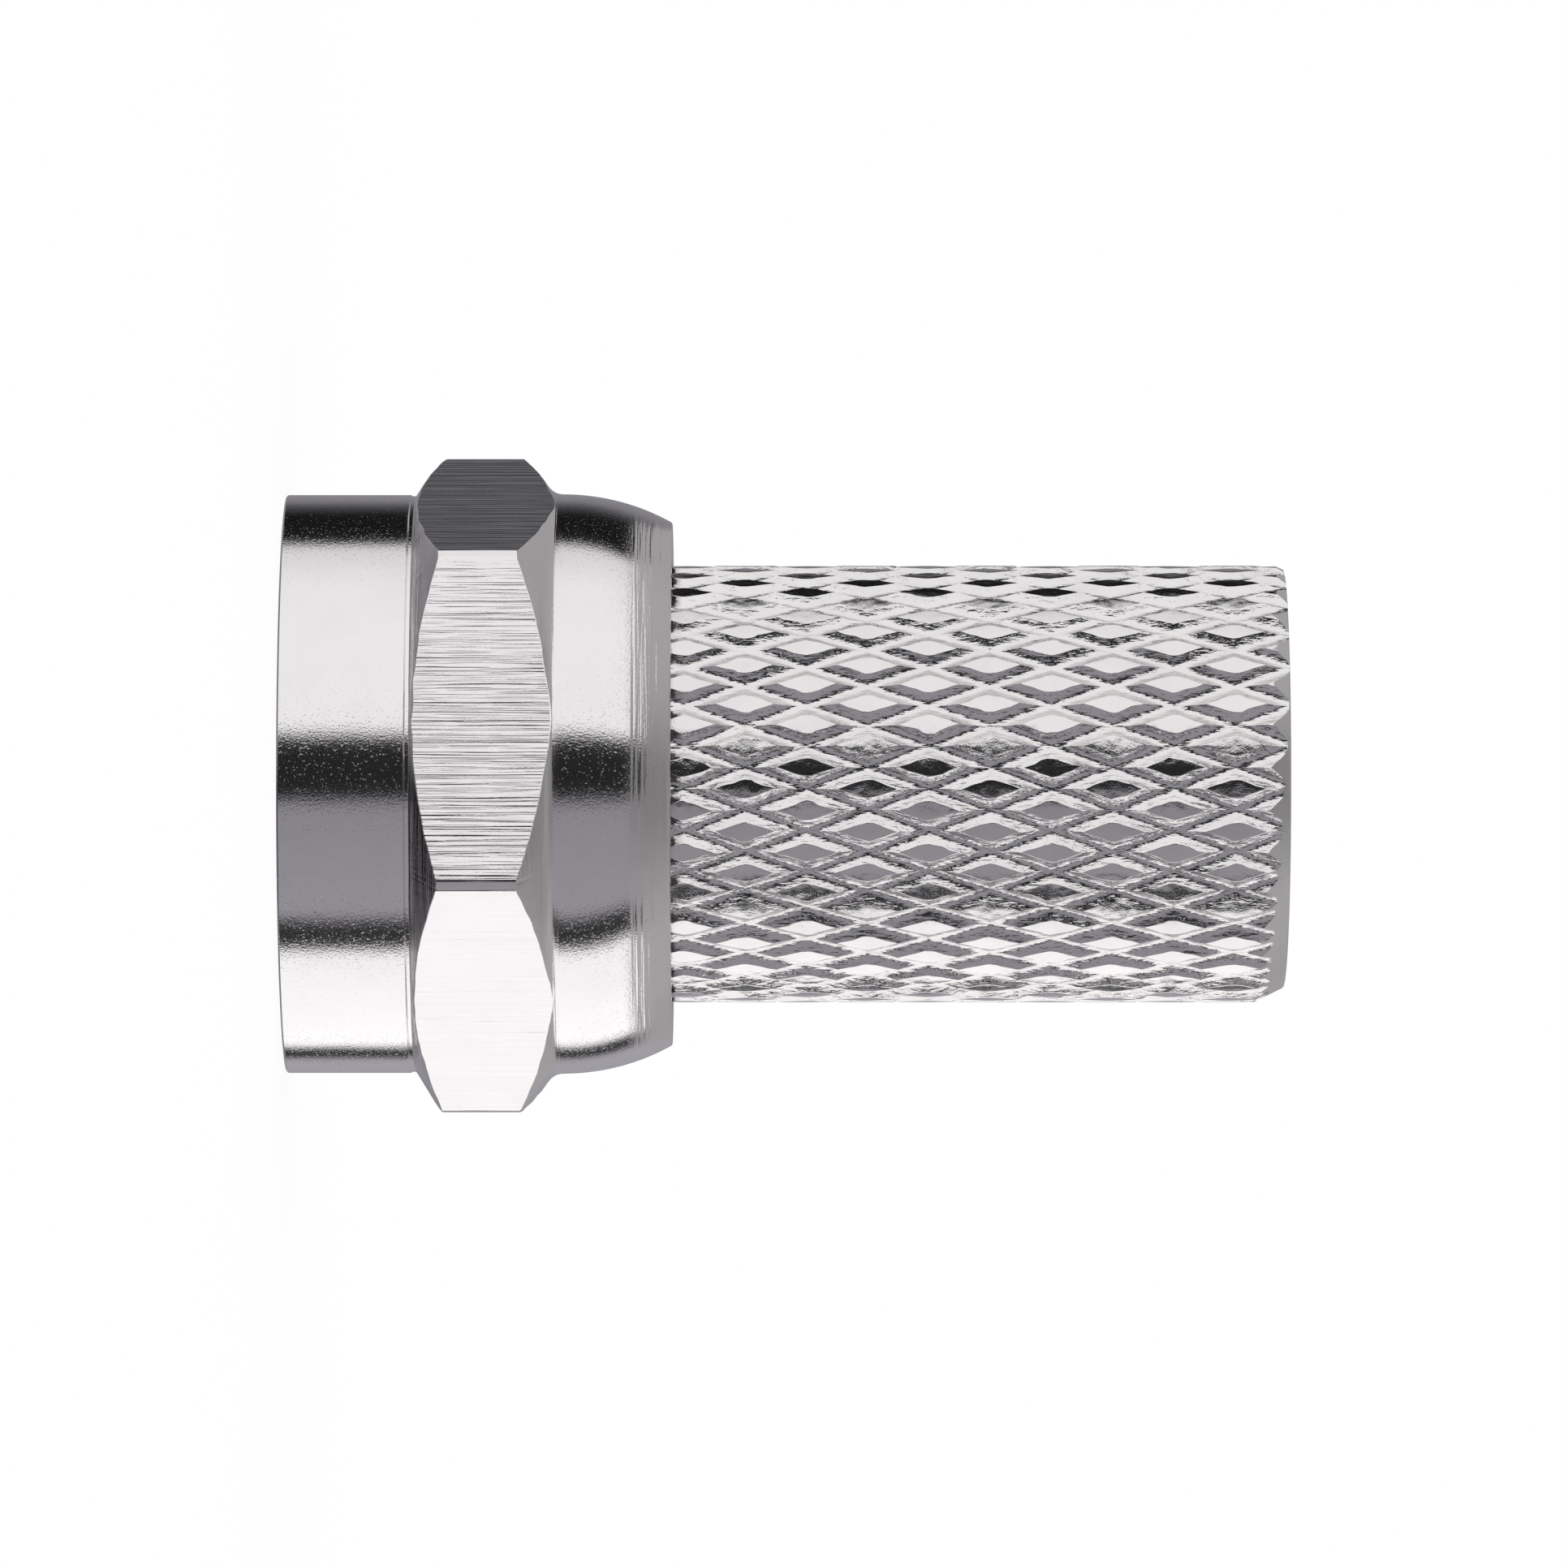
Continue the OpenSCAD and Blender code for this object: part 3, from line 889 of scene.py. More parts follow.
@dataclass
class DiamondKnurl:
    """Diamonds with flat tops between two families of rolled grooves.

    Attributes:
        radius: Radius over the tops.
        count: Diamonds round the sleeve.
        row_gap: Distance along the axis from one row to the next.
        turn: Angle of the diamonds in the last full row, in degrees.
        last_row: Height of the last full row.
        rows_below: Rows below it.
        rows_above: Rows above it.
        land: Share of a cell that its flat top keeps, along each family of grooves.
        depth: Depth of the shallower family, whose floor is round.
        second_cut: How much deeper the second family is rolled.
        wander: How far the edges of the tops stray.
        tilt: How far the tops rise and fall.
        seed: Seed of the stray.

    STEPS is faces along one side of a cell. GROOVE is half a groove from its middle out: share
    of the way to a top, share of the depth, and share of its reach that a blunt corner keeps.
    CROWD is how far the points of the top's rings crowd towards the blunt corners, which start
    where that share falls under BLUNT. STRAY_WAVES and LIFT_WAVES are waves of the stray for
    each millimetre, LIFT_MIDDLE the value of its noise that moves no top, and SEED_STEP how far
    a seed moves the noise. WELD is the distance under which the cells' points are joined.
    """

    radius: float = 4.12
    count: int = 32
    row_gap: float = 1.1389
    turn: float = 2.6
    last_row: float = 17.76
    rows_below: int = 10
    rows_above: int = 2
    land: float = 0.47
    depth: float = 0.122
    second_cut: float = 0.014
    wander: float = 0.042
    tilt: float = 0.012
    seed: int = 7
    STEPS: ClassVar[int] = 4
    GROOVE: ClassVar[tuple[tuple[float, float, float], ...]] = (
        (0.0, 1.0, 1.0), (0.28, 0.91, 1.0), (0.57, 0.6, 0.98), (0.92, 0.07, 0.92),
        (1.0, 0.0, 0.88))
    CROWD: ClassVar[float] = 0.4
    BLUNT: ClassVar[float] = 0.95
    STRAY_WAVES: ClassVar[float] = 4.3
    LIFT_WAVES: ClassVar[float] = 1.3
    LIFT_MIDDLE: ClassVar[float] = 0.72
    SEED_STEP: ClassVar[float] = 0.37
    WELD: ClassVar[float] = 0.002

    def outline(self, inset: float, depth: float, blunt: float = 1.0, crowd: float = 0.0
                ) -> list[tuple[float, float, float]]:
        """Lay points round a cell, along its grooves or inside them.

        Args:
            inset: Distance in from the grooves, as a share of the cell.
            depth: Depth of the points.
            blunt: Share of its reach that each blunt corner keeps.
            crowd: How far the points crowd towards the blunt corners.

        Returns:
            The points, against the clock from the lower tip.
        """
        half_x = math.pi * self.radius / self.count
        corners = ((0, 0), (1, 0), (1, 1), (0, 1))
        even = [step / self.STEPS for step in range(self.STEPS)]
        deeper = self.second_cut * depth / self.depth
        points = []
        for side, start in enumerate(corners):
            stop = corners[(side + 1) % 4]
            shares = [x + crowd * x * (1 - x) * (1 if side % 2 == 0 else -1) for x in even]
            for share in shares:
                reach = blunt if side % 2 and share == 0 else 1.0
                u, v = ((inset + (1 - 2 * inset) * (a + (b - a) * share) - 0.5) * reach
                        for a, b in zip(start, stop))
                cut = deeper if side % 2 == 0 or share == 0 else 0.0
                points.append(((u - v) * half_x * MM, (u + v) * self.row_gap * MM,
                               -(depth + cut) * MM))
        return points

    def tile(self) -> bpy.types.Object:
        """Build one flat diamond cell, with its top, walls and half of each groove beside it.

        Returns:
            An object whose mesh has X round the sleeve, Y along it and Z outwards.
        """
        top = (1 - self.land) / 2
        rings = [self.outline(top * way, self.depth * share, blunt,
                              self.CROWD if blunt < self.BLUNT else 0.0)
                 for way, share, blunt in self.GROOVE]
        size = len(rings[0])
        points = [point for ring in rings for point in ring] + [(0.0, 0.0, 0.0)]
        faces: list[tuple[int, ...]] = []
        for ring in range(len(rings) - 1):
            for i in range(size):
                here, after = ring * size + i, ring * size + (i + 1) % size
                faces.append((here, after, after + size, here + size))
        last = (len(rings) - 1) * size
        faces += [(last + i, last + (i + 1) % size, len(points) - 1) for i in range(size)]
        mesh = new_mesh("diamond_tile", points, faces)
        mesh.update()
        return add_object("diamond_tile", mesh)

    def rule(self, tile: bpy.types.Object) -> ShapeRule:
        """Build the tree that lays the diamonds in rows and wraps them round the sleeve.

        Args:
            tile: One flat diamond cell.

        Returns:
            The tree, with its sizes set.
        """
        rule = ShapeRule("roll_knurl", {
            "Tile": ("Object", tile),
            "Count": ("Int", self.count),
            "Rows": ("Int", self.rows_below + 1 + self.rows_above),
            "Row Gap": ("Float", self.row_gap * MM),
            "First Row": ("Float", (self.last_row - self.rows_below * self.row_gap) * MM),
            "Radius": ("Float", self.radius * MM),
            "Turn": ("Float", math.radians(self.turn - 180 / self.count * (self.rows_below % 2))),
            "Wander": ("Float", self.wander * MM),
            "Tilt": ("Float", self.tilt * MM),
            "Depth": ("Float", self.depth * MM),
            "Seed": ("Int", self.seed)})
        sheet, given = rule.sheet, rule.given
        count, radius = given["Count"], given["Radius"]

        index = sheet.node("GeometryNodeInputIndex").outputs[0]
        row = sheet.math("FLOOR", sheet.over(sheet.total(index, 0.5), count))
        column = sheet.less(index, sheet.product(row, count))
        odd = sheet.math("FRACT", sheet.product(row, 0.5))
        pitch = sheet.over(sheet.product(radius, 2 * math.pi), count)
        x = sheet.product(sheet.total(column, odd), pitch)
        y = sheet.total(given["First Row"], sheet.product(row, given["Row Gap"]))
        points = sheet.node("GeometryNodePoints", {"Count": sheet.product(count, given["Rows"]),
                                                   "Position": sheet.vector(x, y, 0.0)})
        source = sheet.node("GeometryNodeObjectInfo", {"Object": given["Tile"]})
        place = sheet.node("GeometryNodeInstanceOnPoints", {
            "Points": points.outputs[0], "Instance": source.outputs["Geometry"]})
        real = sheet.node("GeometryNodeRealizeInstances", {"Geometry": place.outputs[0]})

        flat_x, flat_y, out = sheet.parts(sheet.node("GeometryNodeInputPosition").outputs[0])
        angle = sheet.total(sheet.over(flat_x, radius), given["Turn"])
        drift = sheet.product(given["Seed"], self.SEED_STEP)
        moved = sheet.vectors("MULTIPLY_ADD", sheet.around(angle, radius, flat_y), (1 / MM,) * 3,
                              sheet.vector(drift, drift, drift)).outputs[0]
        stray = sheet.parts(sheet.noise(moved, self.STRAY_WAVES, 1.0).outputs["Color"])
        slow = sheet.noise(moved, self.LIFT_WAVES, 0.0).outputs[0]
        raised = sheet.clamp(sheet.total(1.0, sheet.over(out, given["Depth"])))
        wander = sheet.product(given["Wander"], 2.0)
        side, lengthwise = (sheet.product(sheet.less(one, 0.5), wander, raised)
                            for one in stray[:2])
        lift = sheet.product(sheet.less(slow, self.LIFT_MIDDLE), given["Tilt"], raised)
        wrap = sheet.node("GeometryNodeSetPosition", {
            "Geometry": real.outputs[0],
            "Position": sheet.around(sheet.total(angle, sheet.over(side, radius)),
                                     sheet.total(radius, out, lift),
                                     sheet.total(flat_y, sheet.product(lengthwise, 2.0)))})
        weld = sheet.node("GeometryNodeMergeByDistance", {"Geometry": wrap.outputs[0],
                                                          "Distance": self.WELD * MM})
        rule.finish(weld.outputs[0])
        return rule

    def bar(self, low: float, high: float) -> bpy.types.Object:
        """Build a closed, knurled bar.

        Args:
            low: Height of its lower end.
            high: Height of its upper end.

        Returns:
            The bar, closed by a flat face at each end.
        """
        tile = self.tile()
        blank = add_object("knurl_blank", bpy.data.meshes.new("knurl_blank"))
        bar = self.rule(tile).run(blank, "knurled_bar")
        bpy.data.objects.remove(tile)
        work = bmesh.new()
        work.from_mesh(bar.data)
        for height, up in ((low, -1), (high, 1)):
            geometry = work.verts[:] + work.edges[:] + work.faces[:]
            bmesh.ops.bisect_plane(work, geom=geometry, dist=1e-9, plane_co=(0, 0, height * MM),
                                   plane_no=(0, 0, up), clear_outer=True)
            rim = [e for e in work.edges if e.is_boundary
                   and all(abs(v.co.z - height * MM) < NEAR for v in e.verts)]
            bmesh.ops.edgeloop_fill(work, edges=rim)
        bmesh.ops.triangulate(work, faces=work.faces[:])
        bmesh.ops.recalc_face_normals(work, faces=work.faces[:])
        open_edges = sum(1 for e in work.edges if not e.is_manifold)
        if open_edges:
            LOG.warning("knurled bar has %d open edges", open_edges)
        work.to_mesh(bar.data)
        work.free()
        return bar


@dataclass
class ConnectorBody:
    """Body with a flange for the nut, and a sleeve that is knurled outside and threaded inside.

    Attributes:
        knurl: The sleeve's knurl.
        jacket_thread: The thread that grips the cable's jacket.
        boss_r: Radius of the boss that meets the socket.
        boss_front: Height of the boss's face.
        flange_r: Radius of the flange.
        flange_front: Height of the flange's face.
        shoulder: Height of the flange's back edge.
        neck_r: Radius of the neck.
        knurl_start: Height at which the knurl starts.
        hole_r: Radius of the hole for the insulation.
        wall_back: Height of the back of the front wall.
        lead_in: Depth of the lead-in on both sides of the front wall.
        bore_r: Radius of the jacket bore.
        funnel_r: Radius of the funnel at the cable end.
        funnel_length: Length of the funnel.
        end: Height of the cable end.
        chamfer_depth: Radial depth of the chamfer at the cable end.
        chamfer_angle: Angle of that chamfer from the axis.
        chamfer_runout: How far its centre lies off the axis.
        chamfer_direction: Direction of its deepest side.
        edge_break: Edge break on the flange and boss.
        spare: How far the trimming envelope stands out past the knurl.

    COLUMNS is faces round the turned parts, and ROWS_PER_PITCH along one turn of the thread.
    TOUCH, END_FACE and BORE_MARGIN say how near a face's middle lies to the chamfer, the end or
    the funnel to take its finish. OVERHANG is how far the knurled bar stands out of its envelope
    at each end. BLIND_END is how far past the knurl's start the bore turns plain, and how far
    past it the thread's last row lies.
    """

    knurl: DiamondKnurl = field(default_factory=DiamondKnurl)
    jacket_thread: Thread = field(default_factory=lambda: Thread(1.0, 3.25, 3.5, 0.3, 0.1))
    boss_r: float = 4.2
    boss_front: float = 4.70
    flange_r: float = 4.70
    flange_front: float = 4.85
    shoulder: float = 6.18
    neck_r: float = 3.95
    knurl_start: float = 7.03
    hole_r: float = 2.5
    wall_back: float = 6.0
    lead_in: float = 0.2
    bore_r: float = 3.25
    funnel_r: float = 3.6
    funnel_length: float = 0.606
    end: float = 18.79
    chamfer_depth: float = 0.18
    chamfer_angle: float = 26.5
    chamfer_runout: float = 0.1
    chamfer_direction: float = 12.6
    edge_break: float = 0.08
    spare: float = 0.25
    COLUMNS: ClassVar[int] = 192
    ROWS_PER_PITCH: ClassVar[int] = 14
    TOUCH: ClassVar[float] = 0.012
    END_FACE: ClassVar[float] = 0.02
    BORE_MARGIN: ClassVar[float] = 0.1
    OVERHANG: ClassVar[tuple[float, float]] = (0.15, 0.2)
    BLIND_END: ClassVar[tuple[float, float]] = (0.2, 0.3)

    def blank(self) -> TurnedForm:
        """Start a turned form with even columns."""
        return TurnedForm(np.arange(self.COLUMNS) * 360 / self.COLUMNS)

    def chamfer_radius(self, angles: np.ndarray, height: Any) -> np.ndarray:
        """Return the radius of the eccentric chamfer.

        Args:
            angles: Angles round the axis, in degrees.
            height: One height, or one for each angle.

        Returns:
            The radius at each angle.
        """
        cone = (self.knurl.radius - self.chamfer_depth
                + (self.end - height) * math.tan(math.radians(self.chamfer_angle)))
        turn = np.radians(angles - self.chamfer_direction)
        across = self.chamfer_runout * np.sin(turn)
        return np.sqrt(cone ** 2 - across ** 2) - self.chamfer_runout * np.cos(turn)

    def front(self) -> bpy.types.Mesh:
        """Build the boss, flange, neck and front wall, which the nut hides."""
        form = self.blank()
        turned, bore = BodyFinish.TURNED.value, BodyFinish.BORE.value
        form.add(self.hole_r + self.lead_in, self.boss_front, turned, 0.02)
        form.add(self.boss_r - self.edge_break, self.boss_front, turned, 0.015)
        form.add(self.boss_r, self.boss_front + self.edge_break, turned, 0.015)
        form.add(self.boss_r, self.flange_front, turned)
        form.add(self.flange_r - self.edge_break, self.flange_front, turned, 0.015)
        form.add(self.flange_r, self.flange_front + self.edge_break, turned, 0.015)
        form.add(self.flange_r, self.shoulder, turned, 0.02)
        form.add(self.neck_r, self.shoulder + self.flange_r - self.neck_r, turned)
        form.add(self.neck_r, self.knurl_start, turned)
        form.add(self.bore_r, self.knurl_start, bore)
        form.add(self.bore_r, self.wall_back, bore)
        form.add(self.hole_r + self.lead_in, self.wall_back, bore, 0.02)
        form.add(self.hole_r, self.wall_back - self.lead_in, bore, 0.02)
        form.add(self.hole_r, self.boss_front + self.lead_in, bore, 0.02)
        return form.mesh("body_front")

    def envelope(self) -> bpy.types.Object:
        """Build the turned space that the knurled sleeve fills, with its threaded bore."""
        form = self.blank()
        turned, bore = BodyFinish.TURNED.value, BodyFinish.BORE.value
        outer = self.knurl.radius + self.spare
        form.add(self.bore_r, self.knurl_start, turned)
        form.add(outer, self.knurl_start, turned)
        start = self.end - (outer - self.knurl.radius + self.chamfer_depth) / math.tan(
            math.radians(self.chamfer_angle))
        form.add(self.chamfer_radius(form.angles, start), start, turned)
        form.add(self.chamfer_radius(form.angles, self.end), self.end, turned, 0.035)
        form.add(self.funnel_r, self.end, bore, 0.03)
        form.add(self.bore_r, self.end - self.funnel_length, bore, 0, True)
        step = self.jacket_thread.pitch / self.ROWS_PER_PITCH
        plain, threaded = (self.knurl_start + past for past in self.BLIND_END)
        top = self.end - self.funnel_length - step
        for height in np.linspace(top, threaded, int((top - threaded) / step)):
            form.add(self.bore_r, height, bore, 0, True)
        form.add(self.bore_r, plain, bore)
        blank = add_object("sleeve_blank", form.mesh("sleeve_envelope"))
        return self.jacket_thread.rule().run(blank, "sleeve_envelope")

    def sleeve(self) -> bpy.types.Object:
        """Build the knurled sleeve, trimmed to its turned envelope."""
        below, above = self.OVERHANG
        bar = self.knurl.bar(self.knurl_start - below, self.end + above)
        envelope = self.envelope()
        trim = bar.modifiers.new("trim", "BOOLEAN")
        trim.operation = "INTERSECT"
        trim.solver = "MANIFOLD"
        trim.object = envelope
        sleeve = settle(bar, "sleeve")
        bpy.data.objects.remove(envelope)
        return sleeve

    def zones(self, mesh: bpy.types.Mesh) -> np.ndarray:
        """Return for each face the number of the finish that its tool left."""
        count = len(mesh.polygons)
        centre = np.zeros(count * 3)
        mesh.polygons.foreach_get("center", centre)
        centre = centre.reshape(-1, 3) / MM
        radius = np.hypot(centre[:, 0], centre[:, 1])
        angles = np.degrees(np.arctan2(centre[:, 1], centre[:, 0]))
        cone = self.chamfer_radius(angles, np.minimum(centre[:, 2], self.end))
        finish = np.full(count, BodyFinish.KNURL.value, np.int32)
        finish[np.abs(radius - cone) < self.TOUCH] = BodyFinish.TURNED.value
        finish[centre[:, 2] > self.end - self.END_FACE] = BodyFinish.TURNED.value
        finish[radius < self.funnel_r + self.BORE_MARGIN] = BodyFinish.BORE.value
        finish[centre[:, 2] < self.knurl_start] = BodyFinish.TURNED.value
        return finish

    def build(self) -> bpy.types.Object:
        """Build the body and put it in place of its CAD node.

        Returns:
            The finished piece.
        """
        _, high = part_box("connector_body")
        self.end = high.z / MM
        sleeve = self.sleeve()
        work = bmesh.new()
        work.from_mesh(sleeve.data)
        work.from_mesh(self.front())
        work.to_mesh(sleeve.data)
        work.free()
        mesh = sleeve.data
        mesh.name = sleeve.name = "knurled_connector_body"
        coat(mesh, [finish.build() for finish in BODY_FINISHES.values()], self.zones(mesh))
        soften(mesh)
        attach(sleeve, "connector_body")
        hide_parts("connector_body")
        return sleeve


BODY_FINISHES: dict[BodyFinish, Nickel] = {
    BodyFinish.KNURL: Nickel("nickel_knurl", (0.765, 0.745, 0.745), (0.71, 0.69, 0.695),
                             roughness=0.12, grain=0.035, grain_slope=0.06, wave=0.28,
                             wave_slope=0.04, torn_below=4.112, torn=0.07, torn_slope=0.17),
    BodyFinish.TURNED: Nickel("nickel_body_turned", roughness=0.16, grain_slope=0.04,
                              lay=Lay.AROUND, mark=0.05, mark_length=6.0, mark_slope=0.03),
    BodyFinish.BORE: Nickel("nickel_body_bore", roughness=0.25, grain_slope=0.04,
                            lay=Lay.AROUND, mark=0.06, mark_length=8.0, mark_slope=0.03),
}


# The studio


class Reach(Enum):
    """Where a card stands: past the rim of the side cards, or between their two rims."""

    BELOW = "below"
    BESIDE = "beside"
    ABOVE = "above"


@dataclass(frozen=True)
class Card:
    """A lit, grey or black card that only the metal sees.

    Attributes:
        name: Name of the card.
        start: Azimuth of its first edge about the plug's axis, in degrees.
        stop: Azimuth of its last edge.
        levels: Brightness from the first edge to the last.
        reach: Where it stands.
        pole: Brightness of its part that is nearer the axis than the turn.
        turn: Elevation at which that part starts, in degrees.
        shade: Share of that part's light that is left where the chamfers look.
        tint: Colour of the light.
        rim_slope: Axial slope, in degrees, of metal that mirrors the rim of the side cards.

    LOWEST_RIM is the lowest elevation of that rim, and SOFT_EDGE the breadth of the edge at the
    turn. The shaded part lies round the azimuth SHADED_AT, out to SHADED_REACH on each side, and
    fades over the last SHADED_EDGE. COLUMN is the breadth of a card's faces. All are degrees.
    ROWS is rows of points from a card's lower edge to its upper one.
    """

    name: str
    start: float
    stop: float
    levels: Sequence[float]
    reach: Reach = Reach.BESIDE
    pole: float = 0.5
    turn: float = 60.0
    shade: float = 1.0
    tint: Colour = (1.0, 1.0, 1.0)
    rim_slope: float = 18.5
    LOWEST_RIM: ClassVar[float] = 12.0
    SOFT_EDGE: ClassVar[float] = 5.0
    SHADED_AT: ClassVar[float] = -38.0
    SHADED_REACH: ClassVar[float] = 60.0
    SHADED_EDGE: ClassVar[float] = 20.0
    COLUMN: ClassVar[float] = 3.0
    ROWS: ClassVar[int] = 12

    def rim(self, azimuth: np.ndarray) -> np.ndarray:
        """Return the elevation of the side cards' rim, whose mirror image is a plain ring."""
        half = np.radians(azimuth - Studio.camera_angle) / 2
        height = np.sin(np.radians(2 * self.rim_slope)) * np.abs(np.cos(half))
        return np.maximum(np.degrees(np.arcsin(height)), self.LOWEST_RIM)

    def build(self, radius: float, height: float) -> bpy.types.Object:
        """Build the card as a patch of a sphere.

        Args:
            radius: Radius of the sphere, in metres.
            height: Height of its centre, in metres.

        Returns:
            The card.
        """
        across = max(2, int(abs(self.stop - self.start) / self.COLUMN) + 1)
        azimuth = np.linspace(self.start, self.stop, across)
        level = np.interp(np.linspace(0, 1, across), np.linspace(0, 1, len(self.levels)),
                          self.levels)
        rim, rows = self.rim(azimuth), self.ROWS
        share = np.linspace(0, 1, rows)[:, None]
        if self.reach is Reach.BESIDE:
            rise = rim * (2 * share - 1)
            values = np.tile(level, (rows, 1))
        else:
            rise = rim + (90 - rim) * share
            blend = np.clip((rise - self.turn) / self.SOFT_EDGE + 0.5, 0, 1)
            away = np.abs((azimuth - self.SHADED_AT + 180) % 360 - 180)
            shaded = np.clip((self.SHADED_REACH - away) / self.SHADED_EDGE, 0, 1)
            values = level * (1 - blend) + self.pole * (1 - (1 - self.shade) * shaded) * blend
            rise = rise if self.reach is Reach.ABOVE else -rise
        e, a = np.radians(rise), np.radians(azimuth)
        points = np.stack([radius * np.cos(e) * np.cos(a), radius * np.cos(e) * np.sin(a),
                           height + radius * np.sin(e)], axis=-1).reshape(-1, 3)
        faces = [(k, k + 1, k + 1 + across, k + across)
                 for j in range(rows - 1) for k in range(j * across, (j + 1) * across - 1)]
        mesh = new_mesh(self.name, points.tolist(), faces)
        mesh.attributes.new("level", "FLOAT", "POINT").data.foreach_set("value", values.ravel())
        mesh.materials.append(self.glow())
        card = add_object(self.name, mesh)
        for ray in ("camera", "diffuse", "shadow", "volume_scatter"):
            setattr(card, f"visible_{ray}", False)
        return card

    def glow(self) -> bpy.types.Material:
        """Build the card's light."""
        material, sheet = bare_material(self.name)
        material.cycles.emission_sampling = "NONE"
        level = sheet.node("ShaderNodeAttribute", attribute_name="level").outputs["Fac"]
        light = sheet.node("ShaderNodeEmission", {"Color": (*self.tint, 1.0), "Strength": level})
        sheet.surface(light.outputs[0])
        return material


GREY: Colour = (1.0, 0.985, 1.07)
CARDS: tuple[Card, ...] = (
    Card("softbox", -187.4, -96.9, (0.78, 1.0, 1.03, 1.03, 1.04)),
    Card("flag_behind_camera", -96.9, -70.9, (0.02, 0.02)),
    Card("grey_card", -70.9, -22.4, (0.3, 0.36), tint=GREY),
    Card("narrow_flag", -22.4, -8.4, (0.03, 0.03)),
    Card("strip_light", -8.4, 51.6, (1.12, 1.3)),
    Card("far_flag_right", 51.6, 63.6, (0.03, 0.03)),
    Card("far_card", 63.6, 145.6, (0.42, 0.42, 0.4, 0.38, 0.34, 0.3, 0.27, 0.25, 0.24, 0.08, 0.02),
         tint=GREY),
    Card("far_flag_left", 145.6, 172.6, (0.01, 0.01)),
    Card("ceiling", -180.0, 180.0,
         (0.45, 0.45, 0.4, 0.26, 0.26, 0.36, 0.45, 0.45, 0.4, 0.4, 0.4, 0.42, 0.45),
         Reach.ABOVE, 0.34, 60.0, 1.0, (1.0, 0.985, 1.0)),
    Card("under_card", -180.0, 180.0, (0.3, 0.3), Reach.BELOW, 0.24, 42.0, 0.02, GREY),
)


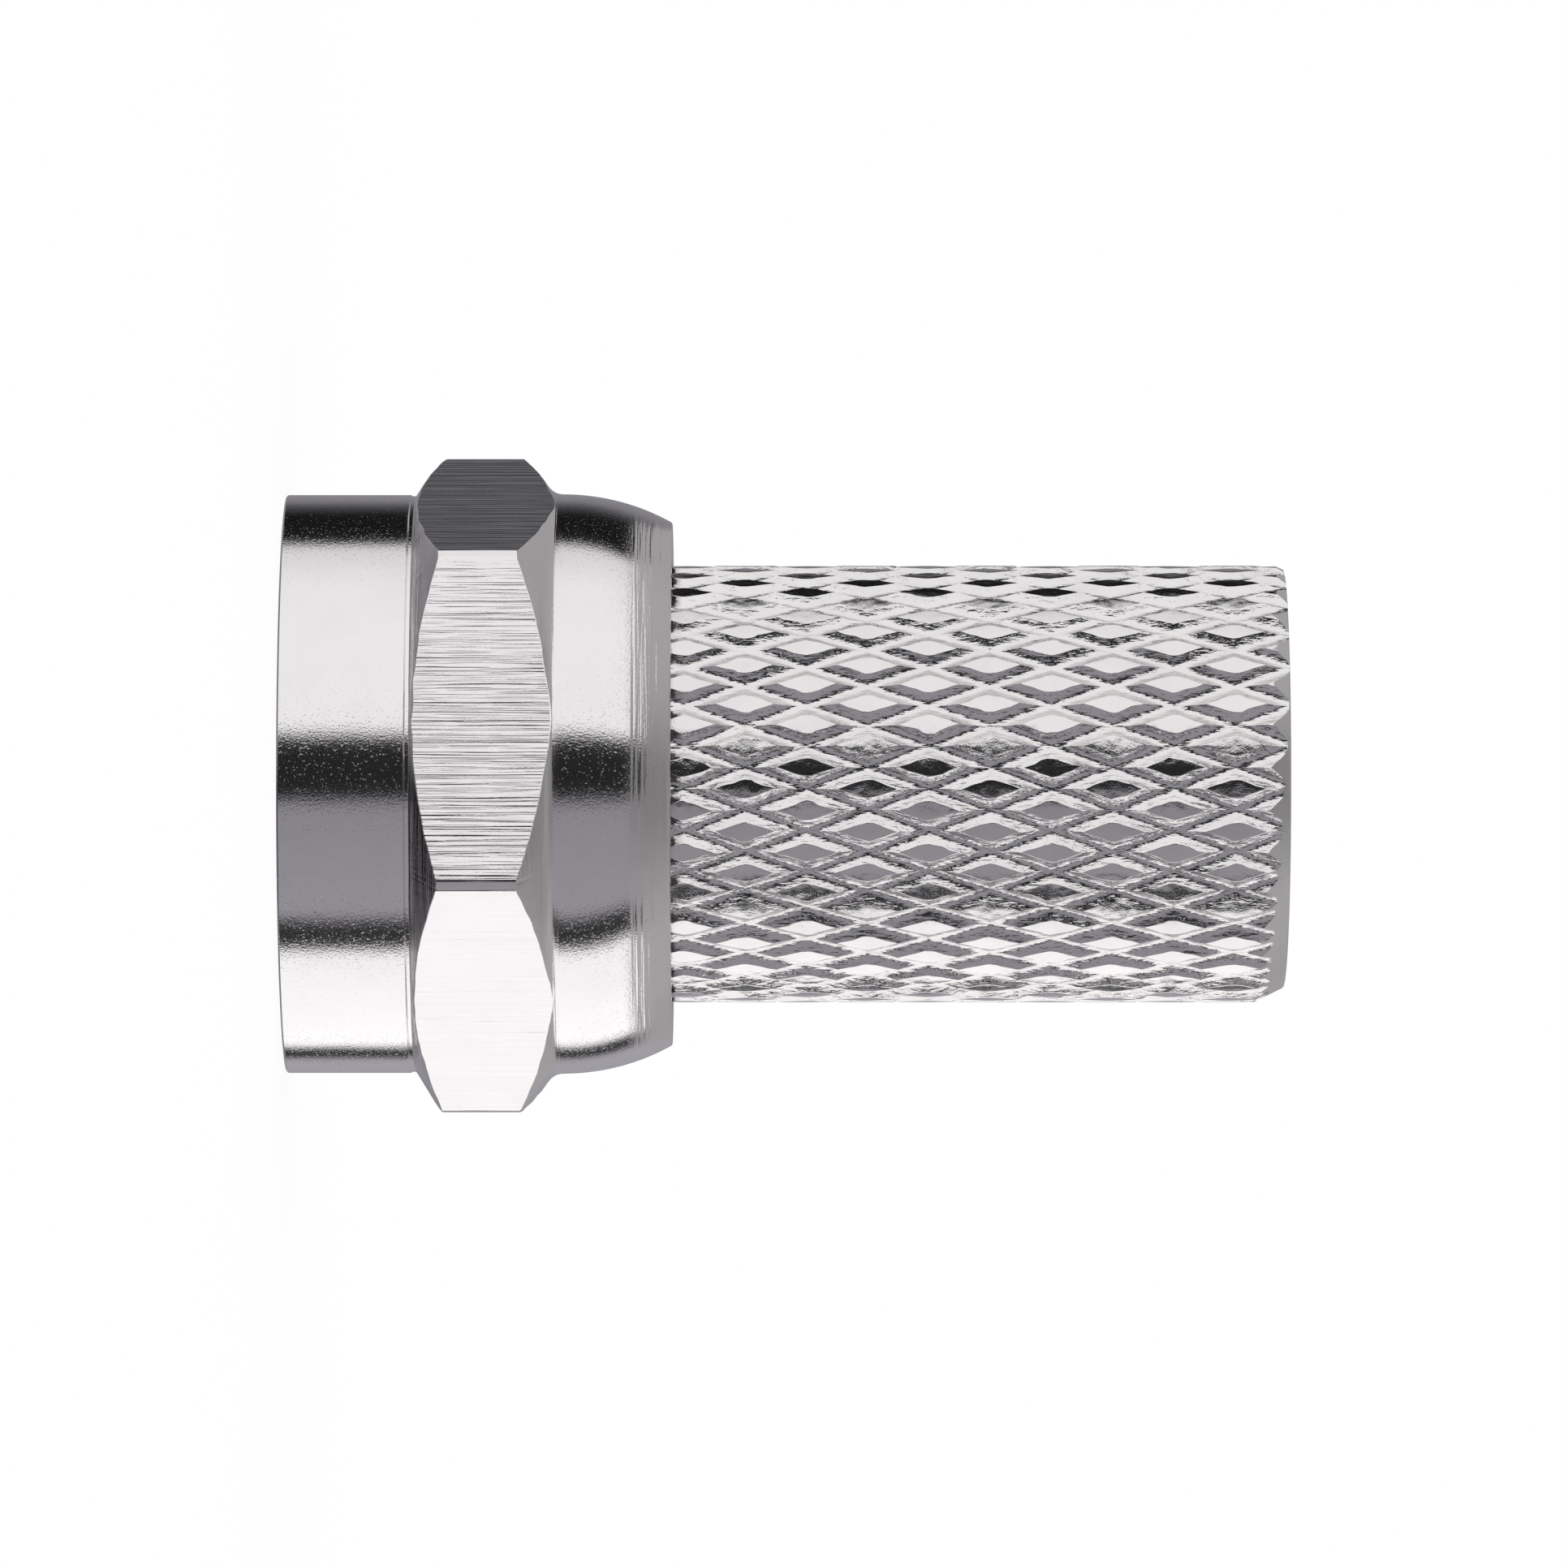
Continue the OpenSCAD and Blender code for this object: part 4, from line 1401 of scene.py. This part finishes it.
@dataclass
class Studio:
    """White floor, even light, cards for the metal to reflect, and the camera.

    Attributes:
        camera_angle: Azimuth of the camera about the plug's axis, in degrees.
        camera_distance: Distance from the axis.
        lens: Focal length.
        sensor: Width of the sensor.
        card_radius: Distance of the cards.
        floor_radius: Radius of the floor.
        shade: How much of the floor's look is its own shading.
        aim: How far from the plug's middle, along its axis, the camera looks.

    FLOOR_RINGS are radii of the floor's inner rings, and FLOOR_STEPS faces round each ring.
    """

    camera_angle: ClassVar[float] = -77.4
    camera_distance: float = 242.0
    lens: float = 294.46
    sensor: float = 36.0
    card_radius: float = 360.0
    floor_radius: float = 900.0
    shade: float = 0.1
    aim: float = -0.023
    FLOOR_STEPS: ClassVar[int] = 96
    FLOOR_RINGS: ClassVar[tuple[float, ...]] = (12, 40, 120, 360)

    def camera(self, height: float) -> bpy.types.Object:
        """Set up the camera, with the plug's axis across the picture.

        Args:
            height: Height that it looks at, in metres.

        Returns:
            The camera.
        """
        data = bpy.data.cameras.new("camera")
        data.sensor_width = self.sensor
        data.lens = self.lens
        data.clip_start = 0.01
        data.clip_end = 5.0
        camera = bpy.data.objects.new("camera", data)
        bpy.context.scene.collection.objects.link(camera)
        turn = math.radians(self.camera_angle)
        back = Vector((math.cos(turn), math.sin(turn), 0))
        right = Vector((0, 0, 1))
        up = back.cross(right)
        rotation = Matrix((right, up, back)).transposed().to_4x4()
        place = back * self.camera_distance * MM + Vector((0, 0, height))
        camera.matrix_world = Matrix.Translation(place) @ rotation
        bpy.context.scene.camera = camera
        return camera

    def floor(self) -> bpy.types.Object:
        """Build the floor, a round sheet that keeps the plug's soft shadow."""
        steps = self.FLOOR_STEPS
        rings = [r * MM for r in (*self.FLOOR_RINGS, self.floor_radius)]
        turns = [2 * math.pi * i / steps for i in range(steps)]
        points = [(0.0, 0.0, 0.0)]
        points += [(r * math.cos(turn), r * math.sin(turn), 0.0) for r in rings for turn in turns]
        faces = [(0, 1 + i, 1 + (i + 1) % steps) for i in range(steps)]
        for k in range(len(rings) - 1):
            a, b = 1 + k * steps, 1 + (k + 1) * steps
            faces += [(a + i, b + i, b + (i + 1) % steps, a + (i + 1) % steps)
                      for i in range(steps)]
        mesh = new_mesh("floor", points, faces)
        material, sheet = bare_material("floor_white")
        material.cycles.emission_sampling = "NONE"
        paint = sheet.node("ShaderNodeBsdfDiffuse", {"Color": (1.0, 1.0, 1.0, 1.0)})
        white = sheet.node("ShaderNodeEmission")
        seen = sheet.node("ShaderNodeLightPath").outputs["Is Camera Ray"]
        mix = sheet.node("ShaderNodeMixShader", {0: sheet.product(seen, 1 - self.shade),
                                                 1: paint.outputs[0], 2: white.outputs[0]})
        sheet.surface(mix.outputs[0])
        mesh.materials.append(material)
        floor = add_object("floor", mesh)
        floor.visible_glossy = False
        return floor

    def world(self) -> None:
        """Light the scene evenly with a white surround."""
        world = bpy.data.worlds.new("white_surround")
        world.use_nodes = True
        world.cycles.sampling_method = "NONE"
        back = world.node_tree.nodes["Background"]
        back.inputs["Color"].default_value = (1.0, 1.0, 1.0, 1.0)
        back.inputs["Strength"].default_value = 1.0
        bpy.context.scene.world = world

    def build(self) -> None:
        """Set up the whole studio."""
        low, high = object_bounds()
        middle = (low.z + high.z) / 2
        self.camera(middle + self.aim * MM)
        self.world()
        self.floor()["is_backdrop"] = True
        for card in CARDS:
            card.build(self.card_radius * MM, middle)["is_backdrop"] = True
        bpy.context.scene.view_settings.view_transform = "Standard"


def main() -> None:
    """Build the studio and both pieces, and log how many triangles each piece has."""
    logging.basicConfig(level=logging.INFO, format="%(name)s: %(message)s")
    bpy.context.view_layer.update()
    Studio().build()
    LOG.info("studio is set")
    for maker in (CouplingNut(), ConnectorBody()):
        piece = maker.build()
        LOG.info("%s has %d triangles", piece.name,
                 sum(len(p.vertices) - 2 for p in piece.data.polygons))


if __name__ == "__main__":
    main()
